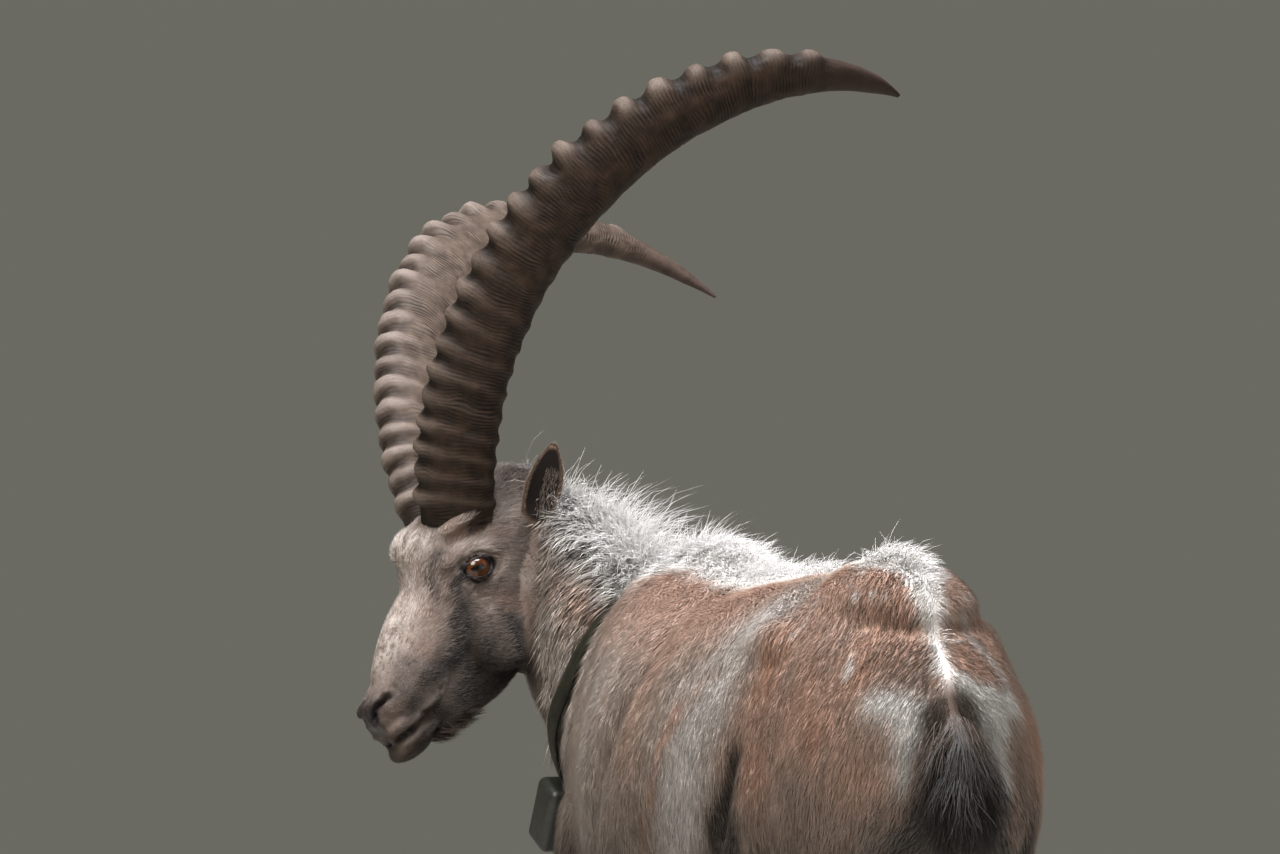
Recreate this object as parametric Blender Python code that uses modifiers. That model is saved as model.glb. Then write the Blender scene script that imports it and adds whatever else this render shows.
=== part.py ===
"""An adult male alpine ibex, life size, standing square with its head turned back over its left shoulder.

Metres, +Z up, +X towards the chest, +Y to the animal's left. The floor is z = 0.
"""

import math
import random

import bmesh
import bpy
import numpy as np
from mathutils import Matrix, Vector
from mathutils.bvhtree import BVHTree

# Row frame: the body is drawn about the middle of its trunk, then moved to the middle of its own box
ROW_SHIFT = Vector((-0.2295, -0.020, 0.0))
GAP = 0.0003

# Trunk, in metres along the spine: place, height of the back, height of the belly, half width
TRUNK = (
    (-0.555, 0.745, 0.640, 0.045),
    (-0.520, 0.805, 0.555, 0.088),
    (-0.440, 0.855, 0.500, 0.122),
    (-0.330, 0.878, 0.485, 0.142),
    (-0.190, 0.880, 0.468, 0.164),
    (-0.030, 0.872, 0.442, 0.192),
    (0.110, 0.876, 0.425, 0.196),
    (0.240, 0.892, 0.420, 0.168),
    (0.350, 0.882, 0.445, 0.142),
    (0.440, 0.835, 0.500, 0.118),
    (0.505, 0.765, 0.580, 0.075),
)

# Neck: centre, half width and half depth from the chest to the back of the skull
NECK = (
    ((0.300, 0.000, 0.700), 0.110, 0.165),
    ((0.400, 0.010, 0.700), 0.112, 0.165),
    ((0.490, 0.030, 0.745), 0.094, 0.140),
    ((0.560, 0.055, 0.810), 0.080, 0.114),
    ((0.610, 0.085, 0.868), 0.070, 0.096),
    ((0.625, 0.120, 0.895), 0.060, 0.075),
)

# Head: its own axes start between the eyes, first along the muzzle, then to its left, then to the brow
HEAD_AT = Vector((0.595, 0.192, 0.866))
HEAD_TURN = math.radians(104.0)
HEAD_DIP = math.radians(35.0)
HEAD_ROLL = math.radians(11.2)
SKULL = (
    (-0.135, 0.040, -0.050, 0.040),
    (-0.110, 0.062, -0.080, 0.056),
    (-0.055, 0.076, -0.104, 0.064),
    (0.000, 0.078, -0.118, 0.060),
    (0.034, 0.070, -0.126, 0.053),
    (0.062, 0.030, -0.128, 0.045),
    (0.100, 0.003, -0.126, 0.037),
    (0.142, -0.024, -0.120, 0.032),
    (0.168, -0.040, -0.115, 0.028),
    (0.183, -0.054, -0.104, 0.021),
)

EYE_RADIUS = 0.0172
EYE_AT = (0.000, 0.0460, 0.000)

# Horns: pitch and outward lean, in degrees, as cubics of the share of the length from root to tip
HORN_ROOT = (-0.0306, 0.0336, 0.0629)
HORN_LENGTH = 0.788
HORN_PITCH = (117.3, 99.6, 16.0, 1.2)
HORN_LEAN = (18.1, 45.3, -39.5, -50.8)
HORN_DEPTH = 0.0420
HORN_WIDTH = 0.0300
HORN_GIRTHS = ((0, 0.96), (0.1, 1.0), (0.5, 0.97), (0.7, 0.80), (0.85, 0.52), (0.95, 0.27), (1, 0.06))
HORN_KNOBS = 20
HORN_SMOOTH_TIP = 0.145
KNOB_RISE = 0.0110
# Each knob: place in shares of its own room, rise in shares of the full rise
KNOB_PROFILE = ((-0.36, -0.22), (-0.20, 0.90), (0.14, 1.0), (0.34, -0.22))
# The right horn has grown a little longer, more curled and more spread than the left
RIGHT_LONGER = 1.030
RIGHT_CURL = 21.0
RIGHT_SPREAD = 14.9
RIGHT_WORN = 0.18


# Feet
FORE_FOOT = (0.335, 0.104)
HIND_FOOT = (-0.440, 0.092)
HOOF_WIDTH = 0.0255
HOOF_HEIGHT = 0.046
CLAW_SPREAD = 0.0155
# Claw from sole to coronet: height, scale of the sole's outline, shift backwards
HOOF_RINGS = ((0.0, 1.0, 0.0), (0.004, 1.04, -0.001), (0.024, 0.96, -0.007), (HOOF_HEIGHT, 0.86, -0.015))

TAIL_ROOT = (-0.520, 0.0, 0.765)

FLESH_VOXEL = 0.007
HEAD_VOXEL = 0.0034
HEAD_TRIANGLES = 1650
BODY_TRIANGLES = 2900



def clear_scene():
    for item in list(bpy.data.objects):
        bpy.data.objects.remove(item, do_unlink=True)


def new_collection(name):
    made = bpy.data.collections.new(name)
    bpy.context.scene.collection.children.link(made)
    return made


def add_object(name, mesh, collection):
    made = bpy.data.objects.new(name, mesh)
    collection.objects.link(made)
    return made


def add_helper(name, mesh, collection):
    made = add_object(name, mesh, collection)
    made.hide_render = True
    made.display_type = "WIRE"
    return made


def mesh_of(name, points, faces):
    mesh = bpy.data.meshes.new(name)
    mesh.from_pydata([tuple(p) for p in points], [], faces)
    mesh.validate()
    return mesh


def evaluated_mesh(item):
    graph = bpy.context.evaluated_depsgraph_get()
    return bpy.data.meshes.new_from_object(item.evaluated_get(graph))


def settle(item):
    """Applies the object's modifiers."""
    mesh = evaluated_mesh(item)
    old = item.data
    item.modifiers.clear()
    item.data = mesh
    bpy.data.meshes.remove(old)


def remove(item):
    bpy.data.objects.remove(item, do_unlink=True)


def spline(values, steps):
    """Catmull-Rom through rows of numbers, with this many steps between two rows."""
    rows = np.array(values, float)
    ends = np.vstack([2 * rows[0] - rows[1], rows, 2 * rows[-1] - rows[-2]])
    made = []
    for i in range(len(rows) - 1):
        a, b, c, d = ends[i : i + 4]
        for t in np.arange(steps) / steps:
            made.append(
                0.5
                * (
                    2 * b
                    + (c - a) * t
                    + (2 * a - 5 * b + 4 * c - d) * t**2
                    + (3 * b - a - 3 * c + d) * t**3
                )
            )
    made.append(rows[-1])
    return np.array(made)


def skin_rings(name, rings):
    """A closed mesh over rings of equal counts, each end closed by one face."""
    sides = len(rings[0])
    points = np.concatenate(rings)
    faces = []
    for i in range(len(rings) - 1):
        low, high = i * sides, (i + 1) * sides
        for j in range(sides):
            k = (j + 1) % sides
            faces.append((low + j, low + k, high + k, high + j))
    faces.append(tuple(range(sides))[::-1])
    faces.append(tuple(len(points) - sides + j for j in range(sides)))
    mesh = mesh_of(name, points, faces)
    face_outwards(mesh)
    return mesh


def face_outwards(mesh):
    work = bmesh.new()
    work.from_mesh(mesh)
    bmesh.ops.recalc_face_normals(work, faces=work.faces)
    if work.calc_volume(signed=True) < 0:
        bmesh.ops.reverse_faces(work, faces=work.faces)
    work.to_mesh(mesh)
    work.free()


def section(centre, side, up, half_side, half_up, sides, square=1.0):
    """A rounded section: square below 1 fills its corners."""
    angle = np.arange(sides) * 2 * math.pi / sides
    across = np.sign(np.cos(angle)) * np.abs(np.cos(angle)) ** square * half_side
    upward = np.sign(np.sin(angle)) * np.abs(np.sin(angle)) ** square * half_up
    return np.array(centre) + np.outer(across, side) + np.outer(upward, up)


def bar(name, stations, sides=20, steps=4, square=1.0):
    """A limb-like form along its stations of centre, half width and half depth."""
    rows = [tuple(centre) + (wide, deep) for centre, wide, deep in stations]
    rows = spline(rows, steps)
    path = np.gradient(rows[:, :3], axis=0)
    rings = []
    for row, along in zip(rows, path):
        along = along / np.linalg.norm(along)
        depth = np.cross(along, (0.0, 1.0, 0.0))
        depth /= np.linalg.norm(depth)
        side = np.cross(depth, along)
        rings.append(section(row[:3], side, depth, row[3], row[4], sides, square))
    return skin_rings(name, rings)


def ball(name, centre, radii, turn=None, segments=16):
    work = bmesh.new()
    rings = segments * 5 // 8
    bmesh.ops.create_uvsphere(work, u_segments=segments, v_segments=rings, radius=1.0)
    place = Matrix.Translation(centre) @ (turn or Matrix()) @ Matrix.Diagonal((*radii, 1.0))
    work.transform(place)
    mesh = bpy.data.meshes.new(name)
    work.to_mesh(mesh)
    work.free()
    return mesh


def head_matrix():
    turn = Matrix.Rotation(HEAD_TURN, 4, "Z")
    dip = Matrix.Rotation(HEAD_DIP, 4, "Y")
    roll = Matrix.Rotation(HEAD_ROLL, 4, "X")
    return Matrix.Translation(HEAD_AT) @ turn @ dip @ roll


HEAD = head_matrix()


def in_head(mesh):
    mesh.transform(HEAD)
    return mesh


def mirrored(mesh):
    """The right-hand twin of a mesh that is still in the head's or the trunk's own axes."""
    twin = mesh.copy()
    twin.transform(Matrix.Diagonal((1.0, -1.0, 1.0, 1.0)))
    twin.flip_normals()
    return twin


def both_sides(meshes):
    return meshes + [mirrored(mesh) for mesh in meshes]


def trunk_form():
    rows = spline(TRUNK, 4)
    rings = []
    for x, top, bottom, wide in rows:
        centre = (x, 0.0, (top + bottom) / 2)
        rings.append(section(centre, (0, 1, 0), (0, 0, 1), wide, (top - bottom) / 2, 32, 0.94))
    return skin_rings("trunk", rings)


def trunk_muscles():
    """Shoulder blade, upper arm, haunch, hip point, breast and spine ridge."""
    lean = Matrix.Rotation(math.radians(-24), 4, "Y")
    sided = [
        ball("blade", (0.290, 0.090, 0.720), (0.085, 0.050, 0.145), lean),
        ball("upper_arm", (0.330, 0.112, 0.580), (0.080, 0.045, 0.105)),
        ball("haunch", (-0.385, 0.074, 0.660), (0.125, 0.064, 0.150), lean),
        ball("thigh", (-0.395, 0.074, 0.560), (0.110, 0.048, 0.130)),
        ball("hip_point", (-0.270, 0.090, 0.815), (0.080, 0.042, 0.042)),
    ]
    middle = [
        ball("breast", (0.440, 0.0, 0.600), (0.090, 0.095, 0.120)),
        ball("withers", (0.250, 0.0, 0.845), (0.150, 0.055, 0.058)),
        ball("croup", (-0.350, 0.0, 0.840), (0.150, 0.080, 0.056)),
    ]
    return both_sides(sided) + middle


def foreleg_form():
    x, y = FORE_FOOT
    return bar(
        "foreleg",
        (
            ((x - 0.010, y - 0.012, 0.600), 0.052, 0.078),
            ((x - 0.024, y - 0.008, 0.500), 0.040, 0.058),
            ((x - 0.016, y - 0.004, 0.400), 0.029, 0.037),
            ((x - 0.006, y, 0.315), 0.027, 0.031),
            ((x - 0.004, y, 0.275), 0.027, 0.031),
            ((x - 0.010, y, 0.220), 0.019, 0.022),
            ((x - 0.014, y, 0.150), 0.018, 0.021),
            ((x - 0.018, y, 0.105), 0.024, 0.027),
            ((x - 0.006, y, 0.070), 0.022, 0.024),
            ((x + 0.004, y, 0.040), 0.027, 0.029),
            ((x + 0.008, y, 0.020), 0.027, 0.029),
        ),
    )


def hindleg_form():
    x, y = HIND_FOOT
    return bar(
        "hindleg",
        (
            ((x + 0.060, y - 0.012, 0.620), 0.048, 0.112),
            ((x + 0.062, y - 0.008, 0.520), 0.044, 0.086),
            ((x + 0.034, y - 0.004, 0.430), 0.034, 0.056),
            ((x - 0.022, y, 0.355), 0.025, 0.038),
            ((x - 0.040, y, 0.310), 0.024, 0.036),
            ((x - 0.034, y, 0.260), 0.021, 0.027),
            ((x - 0.026, y, 0.170), 0.019, 0.023),
            ((x - 0.024, y, 0.110), 0.024, 0.028),
            ((x - 0.008, y, 0.072), 0.022, 0.024),
            ((x + 0.004, y, 0.040), 0.027, 0.029),
            ((x + 0.008, y, 0.020), 0.027, 0.029),
        ),
    )


def hock_point():
    x, y = HIND_FOOT
    return ball("hock", (x - 0.062, y, 0.335), (0.018, 0.014, 0.030))


def dewclaws(foot):
    """The two small horny knobs at the back of the fetlock."""
    x, y = foot
    return [ball("dewclaw", (x - 0.042, y + side, 0.082), (0.011, 0.008, 0.014)) for side in (-0.014, 0.014)]


def skull_form():
    rows = spline(SKULL, 4)
    rings = []
    for x, top, bottom, wide in rows:
        centre = (x, 0.0, (top + bottom) / 2)
        ring = section(centre, (0, 1, 0), (0, 0, 1), wide, (top - bottom) / 2, 28, 0.88)
        # The jaw is narrower than the brow
        low = (ring[:, 2] - bottom) / (top - bottom)
        ring[:, 1] *= 0.66 + 0.34 * np.clip(low * 1.6, 0, 1)
        rings.append(ring)
    return skin_rings("skull", rings)


def face_forms():
    """Cheek, brow, eye socket rim, nasal ridge, nostril wings, lips and chin, in the head's own axes."""
    sided = [
        ball("cheek", (0.010, 0.034, -0.066), (0.052, 0.022, 0.048)),
        ball("brow", (0.008, 0.046, 0.024), (0.030, 0.014, 0.012)),
        ball("orbit", (0.000, 0.042, 0.000), (0.030, 0.017, 0.026)),
        ball("muzzle_side", (0.120, 0.024, -0.060), (0.055, 0.014, 0.030)),
        ball("nostril_wing", (0.168, 0.013, -0.056), (0.017, 0.013, 0.016)),
        ball("upper_lip", (0.154, 0.020, -0.082), (0.031, 0.012, 0.011)),
        ball("lower_lip", (0.150, 0.016, -0.104), (0.030, 0.012, 0.009)),
        ball("horn_seat", (-0.030, 0.036, 0.062), (0.052, 0.036, 0.030)),
    ]
    middle = [
        ball("chin", (0.160, 0.0, -0.108), (0.030, 0.024, 0.016)),
        ball("nose_ridge", (0.098, 0.0, -0.004), (0.070, 0.019, 0.015), Matrix.Rotation(0.53, 4, "Y")),
        ball("forehead", (0.022, 0.0, 0.050), (0.030, 0.036, 0.028)),
        ball("nose_tip", (0.176, 0.0, -0.062), (0.011, 0.017, 0.019)),
        ball("poll", (-0.100, 0.0, 0.030), (0.040, 0.052, 0.042)),
    ]
    return both_sides(sided) + middle


# Crest of standing hair along the spine: place, how far it spreads to each side, lock length, rows across
CREST = (
    (0.612, 0.030, 0.070, 3),
    (0.540, 0.040, 0.090, 4),
    (0.400, 0.046, 0.098, 4),
    (0.320, 0.042, 0.050, 3),
    (0.240, 0.038, 0.030, 3),
    (0.120, 0.032, 0.036, 2),
    (-0.060, 0.026, 0.044, 2),
    (-0.200, 0.018, 0.024, 2),
    (-0.330, 0.026, 0.034, 3),
    (-0.430, 0.018, 0.018, 2),
    (-0.470, 0.012, 0.014, 1),
)
CREST_STEP = 0.040
LOCK_THICK = 0.006
LOCK_WIDTH = 0.032


def lock(root, out, lie, length, width, thick=LOCK_THICK, curl=0.0):
    """A flat, tapered lock that leaves the skin along out and bends over towards lie."""
    out, lie = Vector(out).normalized(), Vector(lie).normalized()
    across = out.cross(lie).normalized()
    rings = []
    for share, wide in ((0.0, 0.85), (0.36, 1.0), (0.72, 0.62)):
        rise = length * (share - 0.5 * share**2)
        centre = Vector(root) + out * rise + lie * length * 0.75 * share**1.6
        centre += across * curl * length * share**2
        face = (out + lie * share).cross(across).normalized()
        half, flat = width * wide / 2, thick * (1 - 0.5 * share) / 2
        wide, flat = across * half, face * flat
        rings.append([centre + wide, centre + flat, centre - wide, centre - flat])
    tip = Vector(root) + out * length * 0.5 + lie * length * 0.75 + across * curl * length
    points = [tuple(p) for ring in rings for p in ring] + [tuple(tip)]
    sides = len(rings[0])
    faces = [(3, 2, 1, 0)]
    for i in range(len(rings) - 1):
        for j in range(sides):
            k = (j + 1) % sides
            low, high = i * sides, (i + 1) * sides
            faces.append((low + j, low + k, high + k))
            faces.append((low + j, high + k, high + j))
    last = (len(rings) - 1) * sides
    faces += [(last + j, last + (j + 1) % sides, len(points) - 1) for j in range(sides)]
    mesh = mesh_of("lock", points, faces)
    face_outwards(mesh)
    return mesh


def on_skin(tree, start, way):
    """Where a line from start meets the skin, and the way the skin faces there."""
    place, normal, _, _ = tree.ray_cast(Vector(start), Vector(way).normalized())
    return place, normal


ROOT_DEPTH = 0.010


def crest_side(x):
    """How far the middle of the crest lies to the left: the neck bends that way in front of the withers."""
    places = [centre[0] for centre, _, _ in NECK]
    return float(np.interp(x, places, [centre[1] for centre, _, _ in NECK]))


def crest_locks(body, seed):
    draw = random.Random(seed)
    tree = tree_of(body.data)
    table = np.array(CREST)[::-1]
    made = []
    x = CREST[0][0]
    while x > CREST[-1][0]:
        spread, length, rows = (float(np.interp(x, table[:, 0], table[:, n])) for n in (1, 2, 3))
        rows = round(rows)
        for row in range(rows):
            across = 0.0 if rows == 1 else 2 * row / (rows - 1) - 1
            y = crest_side(x) + spread * across + draw.uniform(-0.004, 0.004)
            place, normal = on_skin(tree, (x + draw.uniform(-0.008, 0.008), y, 1.3), (0, 0, -1))
            if place is None:
                continue
            out = Vector((-0.25, across * 0.55, 1.0)) + normal * 0.3
            lie = Vector((-1.0, across * 0.45 + draw.uniform(-0.3, 0.3), 0.15 - 0.5 * abs(across)))
            long = length * draw.uniform(0.8, 1.2)
            root = place - normal * ROOT_DEPTH
            made.append(lock(root, out, lie, long + ROOT_DEPTH, LOCK_WIDTH, curl=draw.uniform(-0.15, 0.15)))
        x -= CREST_STEP * draw.uniform(0.85, 1.15)
    return made


BEARD_LOCKS = 9


def beard_locks(seed):
    """A short dark beard behind the chin, in the head's axes."""
    draw = random.Random(seed)
    made = []
    for n in range(BEARD_LOCKS):
        share = n / (BEARD_LOCKS - 1)
        side = (-1, 0, 1)[n % 3]
        root = (0.138 - 0.060 * share, side * 0.010, -0.110)
        out = Vector((-0.25, side * 0.15, -1.0))
        lie = Vector((-1.0, side * 0.12, -0.35))
        made.append(lock(root, out, lie, draw.uniform(0.030, 0.040), 0.016, curl=draw.uniform(-0.1, 0.1)))
    return made


TAIL_LOCKS = 17
TAIL_CORE = (
    ((0.050, 0.0, 0.006), 0.022, 0.016),
    ((0.005, 0.0, -0.008), 0.021, 0.016),
    ((-0.036, 0.0, -0.042), 0.018, 0.015),
    ((-0.054, 0.0, -0.082), 0.014, 0.011),
    ((-0.058, 0.0, -0.108), 0.008, 0.007),
)


def tail_core():
    stations = [(tuple(Vector(TAIL_ROOT) + Vector(at)), wide, deep) for at, wide, deep in TAIL_CORE]
    return bar("tail", stations, sides=10, steps=2)


def tail_locks(seed):
    """The brush: locks that leave the core all round and hang down past it."""
    draw = random.Random(seed)
    made = []
    for n in range(TAIL_LOCKS):
        share = n / (TAIL_LOCKS - 1)
        turn = n * 2.4
        low, high = Vector(TAIL_CORE[1][0]), Vector(TAIL_CORE[3][0])
        root = Vector(TAIL_ROOT) + low.lerp(high, share)
        side = math.sin(turn)
        back = 0.35 + 0.65 * math.cos(turn)
        out = Vector((-0.8 * abs(back), 1.1 * side, -0.35))
        lie = Vector((-0.12, 0.30 * side, -1.0))
        long = draw.uniform(0.058, 0.078)
        made.append(lock(root, out, lie, long, 0.022, curl=draw.uniform(-0.15, 0.15)))
    return made


def tree_of(mesh):
    return BVHTree.FromPolygons([v.co for v in mesh.vertices], [p.vertices for p in mesh.polygons])


def clear_of(locks, item, helpers):
    """The locks that don't reach this piece or the room round it."""
    grown = inflated(item, "room", CLEAR, helpers)
    room = tree_of(grown.data)
    kept = [mesh for mesh in locks if not tree_of(mesh).overlap(room)]
    remove(grown)
    return kept


CLEAR = 0.001


def add_locks(item, locks, helpers):
    """Fuses the locks to the piece they grow from."""
    group = bpy.data.collections.new("locks")
    helpers.children.link(group)
    for mesh in locks:
        add_helper("lock", mesh, group)
    union = item.modifiers.new("locks", "BOOLEAN")
    union.operation = "UNION"
    union.operand_type = "COLLECTION"
    union.solver = "EXACT"
    union.collection = group
    settle(item)
    for piece in list(group.objects):
        remove(piece)
    bpy.data.collections.remove(group)
    largest_only(item)


def ring_tube(name, centres, radius, sides, closed):
    """A tube of even girth through these centres."""
    centres = np.array(centres, float)
    if closed:
        along = np.roll(centres, -1, 0) - np.roll(centres, 1, 0)
    else:
        along = np.gradient(centres, axis=0)
    points, faces = [], []
    for centre, way in zip(centres, along):
        way = way / np.linalg.norm(way)
        side = np.cross(way, (0.0, 1.0, 0.0) if closed else (0.0, 0.0, 1.0))
        side /= np.linalg.norm(side)
        points.append(section(centre, side, np.cross(way, side), radius, radius, sides))
    if not closed:
        return skin_rings(name, points)
    count = len(points)
    for i in range(count):
        low, high = i * sides, ((i + 1) % count) * sides
        for j in range(sides):
            k = (j + 1) % sides
            faces.append((low + j, low + k, high + k, high + j))
    mesh = mesh_of(name, np.concatenate(points), faces)
    face_outwards(mesh)
    return mesh


LID_HALF_LENGTH = 0.0158
LID_HALF_HEIGHT = 0.0112
LID_THICK = 0.0032
MOUTH_LINE = ((0.112, 0.034, -0.088), (0.140, 0.031, -0.096), (0.166, 0.023, -0.097), (0.184, 0.0, -0.093))
MOUTH_GROOVE = 0.0022
NOSTRIL_AT = (0.181, 0.0125, -0.054)


def lid_ring():
    """The rims of both lids, lying on the eyeball."""
    centres = []
    for turn in np.arange(14) * 2 * math.pi / 14:
        along, up = LID_HALF_LENGTH * math.cos(turn), LID_HALF_HEIGHT * math.sin(turn)
        out = math.sqrt(EYE_RADIUS**2 - along**2 - up**2) if EYE_RADIUS > LID_HALF_LENGTH else 0.0
        centres.append((along, EYE_AT[1] + out, up))
    return ring_tube("lids", centres, LID_THICK, 5, True)


def mouth_cutter():
    """A groove between the lips, from corner to corner round the front."""
    left = spline(MOUTH_LINE, 3)
    right = left[:-1][::-1] * (1, -1, 1)
    return ring_tube("mouth", np.concatenate([left, right]), MOUTH_GROOVE, 5, False)


def nostril_cutter():
    tilt = Matrix.Rotation(math.radians(35), 4, "Y") @ Matrix.Rotation(math.radians(-28), 4, "Z")
    return ball("nostril", NOSTRIL_AT, (0.0105, 0.0045, 0.0060), tilt, segments=8)


def add_face(head, helpers):
    """Lids, mouth line and nostrils."""
    for mesh in both_sides([lid_ring()]):
        rim = add_helper("rim", in_head(mesh), helpers)
        combine(head, rim, "UNION")
        remove(rim)
    for mesh in both_sides([nostril_cutter()]) + [mouth_cutter()]:
        groove = add_helper("groove", in_head(mesh), helpers)
        combine(head, groove, "DIFFERENCE")
        remove(groove)
    largest_only(head)


def fuse(name, meshes, voxel, smooth, helpers):
    """One closed surface over meshes that pass through each other."""
    work = bmesh.new()
    for mesh in meshes:
        work.from_mesh(mesh)
        bpy.data.meshes.remove(mesh)
    joined = bpy.data.meshes.new(name)
    work.to_mesh(joined)
    work.free()
    made = add_helper(name, joined, helpers)
    remesh = made.modifiers.new("fuse", "REMESH")
    remesh.mode = "VOXEL"
    remesh.voxel_size = voxel
    relax = made.modifiers.new("relax", "SMOOTH")
    relax.factor = 0.5
    relax.iterations = smooth
    settle(made)
    return made


def thin_out(item, triangles):
    """Collapses edges until about this many triangles are left."""
    work = bmesh.new()
    work.from_mesh(item.data)
    bmesh.ops.triangulate(work, faces=work.faces)
    count = len(work.faces)
    work.to_mesh(item.data)
    work.free()
    collapse = item.modifiers.new("thin", "DECIMATE")
    collapse.ratio = min(1.0, triangles / count)
    settle(item)


def duplicate(item, name, collection):
    return add_helper(name, item.data.copy(), collection)


def cut_plane(item, point, normal, fill=True):
    """Keeps the side that the normal points to."""
    work = bmesh.new()
    work.from_mesh(item.data)
    found = bmesh.ops.bisect_plane(
        work,
        geom=work.verts[:] + work.edges[:] + work.faces[:],
        plane_co=point,
        plane_no=normal,
        clear_inner=True,
    )
    if fill:
        rim = [e for e in found["geom_cut"] if isinstance(e, bmesh.types.BMEdge)]
        bmesh.ops.holes_fill(work, edges=rim)
        bmesh.ops.triangulate(work, faces=[f for f in work.faces if len(f.verts) > 4])
        bmesh.ops.recalc_face_normals(work, faces=work.faces)
    work.to_mesh(item.data)
    work.free()


def combine(item, other, operation, solver="EXACT"):
    joint = item.modifiers.new("combine", "BOOLEAN")
    joint.operation = operation
    joint.solver = solver
    joint.object = other
    settle(item)


def largest_only(item):
    """Keeps the largest closed surface of a mesh."""
    work = bmesh.new()
    work.from_mesh(item.data)
    bmesh.ops.remove_doubles(work, verts=work.verts, dist=0.0000002)
    left = set(work.verts)
    groups = []
    while left:
        group = {left.pop()}
        edge = list(group)
        while edge:
            vert = edge.pop()
            for link in vert.link_edges:
                other = link.other_vert(vert)
                if other in left:
                    left.discard(other)
                    group.add(other)
                    edge.append(other)
        groups.append(group)
    groups.sort(key=len)
    for group in groups[:-1]:
        bmesh.ops.delete(work, geom=list(group), context="VERTS")
    work.to_mesh(item.data)
    work.free()


def inflated(item, name, by, helpers):
    grown = duplicate(item, name, helpers)
    swell = grown.modifiers.new("swell", "DISPLACE")
    swell.mid_level = 0.0
    swell.strength = by
    settle(grown)
    return grown


def carve(item, other, helpers, solver="EXACT"):
    """Takes the other piece and its gap out of this one."""
    cutter = inflated(other, "cutter", GAP, helpers)
    combine(item, cutter, "DIFFERENCE", solver)
    remove(cutter)
    largest_only(item)


def box_cutter(low, high, place, helpers):
    work = bmesh.new()
    bmesh.ops.create_cube(work, size=1.0)
    low, high = Vector(low), Vector(high)
    size = high - low
    work.transform(place @ Matrix.Translation((low + high) / 2) @ Matrix.Diagonal((*size, 1.0)))
    mesh = bpy.data.meshes.new("block")
    work.to_mesh(mesh)
    work.free()
    return add_helper("block", mesh, helpers)


# Where the body is parted: low corner, high corner and place of each block
HEAD_BLOCK = ((-0.104, -0.110, -0.148), (0.40, 0.082, 0.50), HEAD)
NECK_TILT = Matrix.Translation((0.405, 0.0, 0.70)) @ Matrix.Rotation(math.radians(-36), 4, "Y")
NECK_BLOCK = ((0.0, -0.40, -0.50), (0.60, 0.40, 0.60), NECK_TILT)
FORE_TILT = Matrix.Translation((0.38, 0.0, 0.20)) @ Matrix.Rotation(math.radians(8), 4, "Y")
FORE_BLOCK = ((-0.180, 0.030, -0.30), (0.180, 0.300, 0.310), FORE_TILT)
HIND_TILT = Matrix.Translation((-0.43, 0.0, 0.25)) @ Matrix.Rotation(math.radians(-14), 4, "Y")
HIND_BLOCK = ((-0.240, 0.018, -0.35), (0.190, 0.300, 0.350), HIND_TILT)


def block_piece(item, block, grow, operation, helpers, side=1):
    """Keeps what lies in the block, or all but that, with the block grown by this much all round."""
    low, high, place = block
    if side < 0:
        low, high = (low[0], -high[1], low[2]), (high[0], -low[1], high[2])
    cutter = box_cutter([v - grow for v in low], [v + grow for v in high], place, helpers)
    combine(item, cutter, operation)
    remove(cutter)
    largest_only(item)


def part_off(body, name, block, helpers, side=1):
    """A piece of the body as its own solid, with the gap between them."""
    piece = duplicate(body, name, helpers)
    block_piece(piece, block, -GAP / 2, "INTERSECT", helpers, side)
    block_piece(body, block, GAP / 2, "DIFFERENCE", helpers, side)
    return piece


def horn_path(count, right):
    """Centres and headings along one horn, drawn as a left one, at even shares of its length."""
    share = (np.arange(count) + 0.5) / count
    powers = np.array([share**n for n in range(4)])
    pitch = np.radians(np.array(HORN_PITCH) @ powers + (RIGHT_CURL * share if right else 0.0))
    lean = np.radians(np.array(HORN_LEAN) @ powers + (RIGHT_SPREAD * share if right else 0.0))
    length = HORN_LENGTH * (RIGHT_LONGER if right else 1.0)
    step = np.stack(
        [np.cos(pitch) * np.cos(lean), np.sin(lean), np.sin(pitch) * np.cos(lean)], 1
    )
    path = np.vstack([HORN_ROOT, np.array(HORN_ROOT) + np.cumsum(step, 0) * length / count])
    return path, np.vstack([step[:1], step])


def horn_size(share):
    """How much of the root's girth is left at this share of the length."""
    return float(np.interp(share, *zip(*HORN_GIRTHS)))


def knob_shares():
    """Places of the knobs, close at the root and wider apart outwards."""
    gaps = np.linspace(0.72, 1.28, HORN_KNOBS)
    places = np.cumsum(gaps)
    return 0.035 + (1 - HORN_SMOOTH_TIP - 0.035) * (places - gaps[0] / 2) / places[-1]


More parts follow.
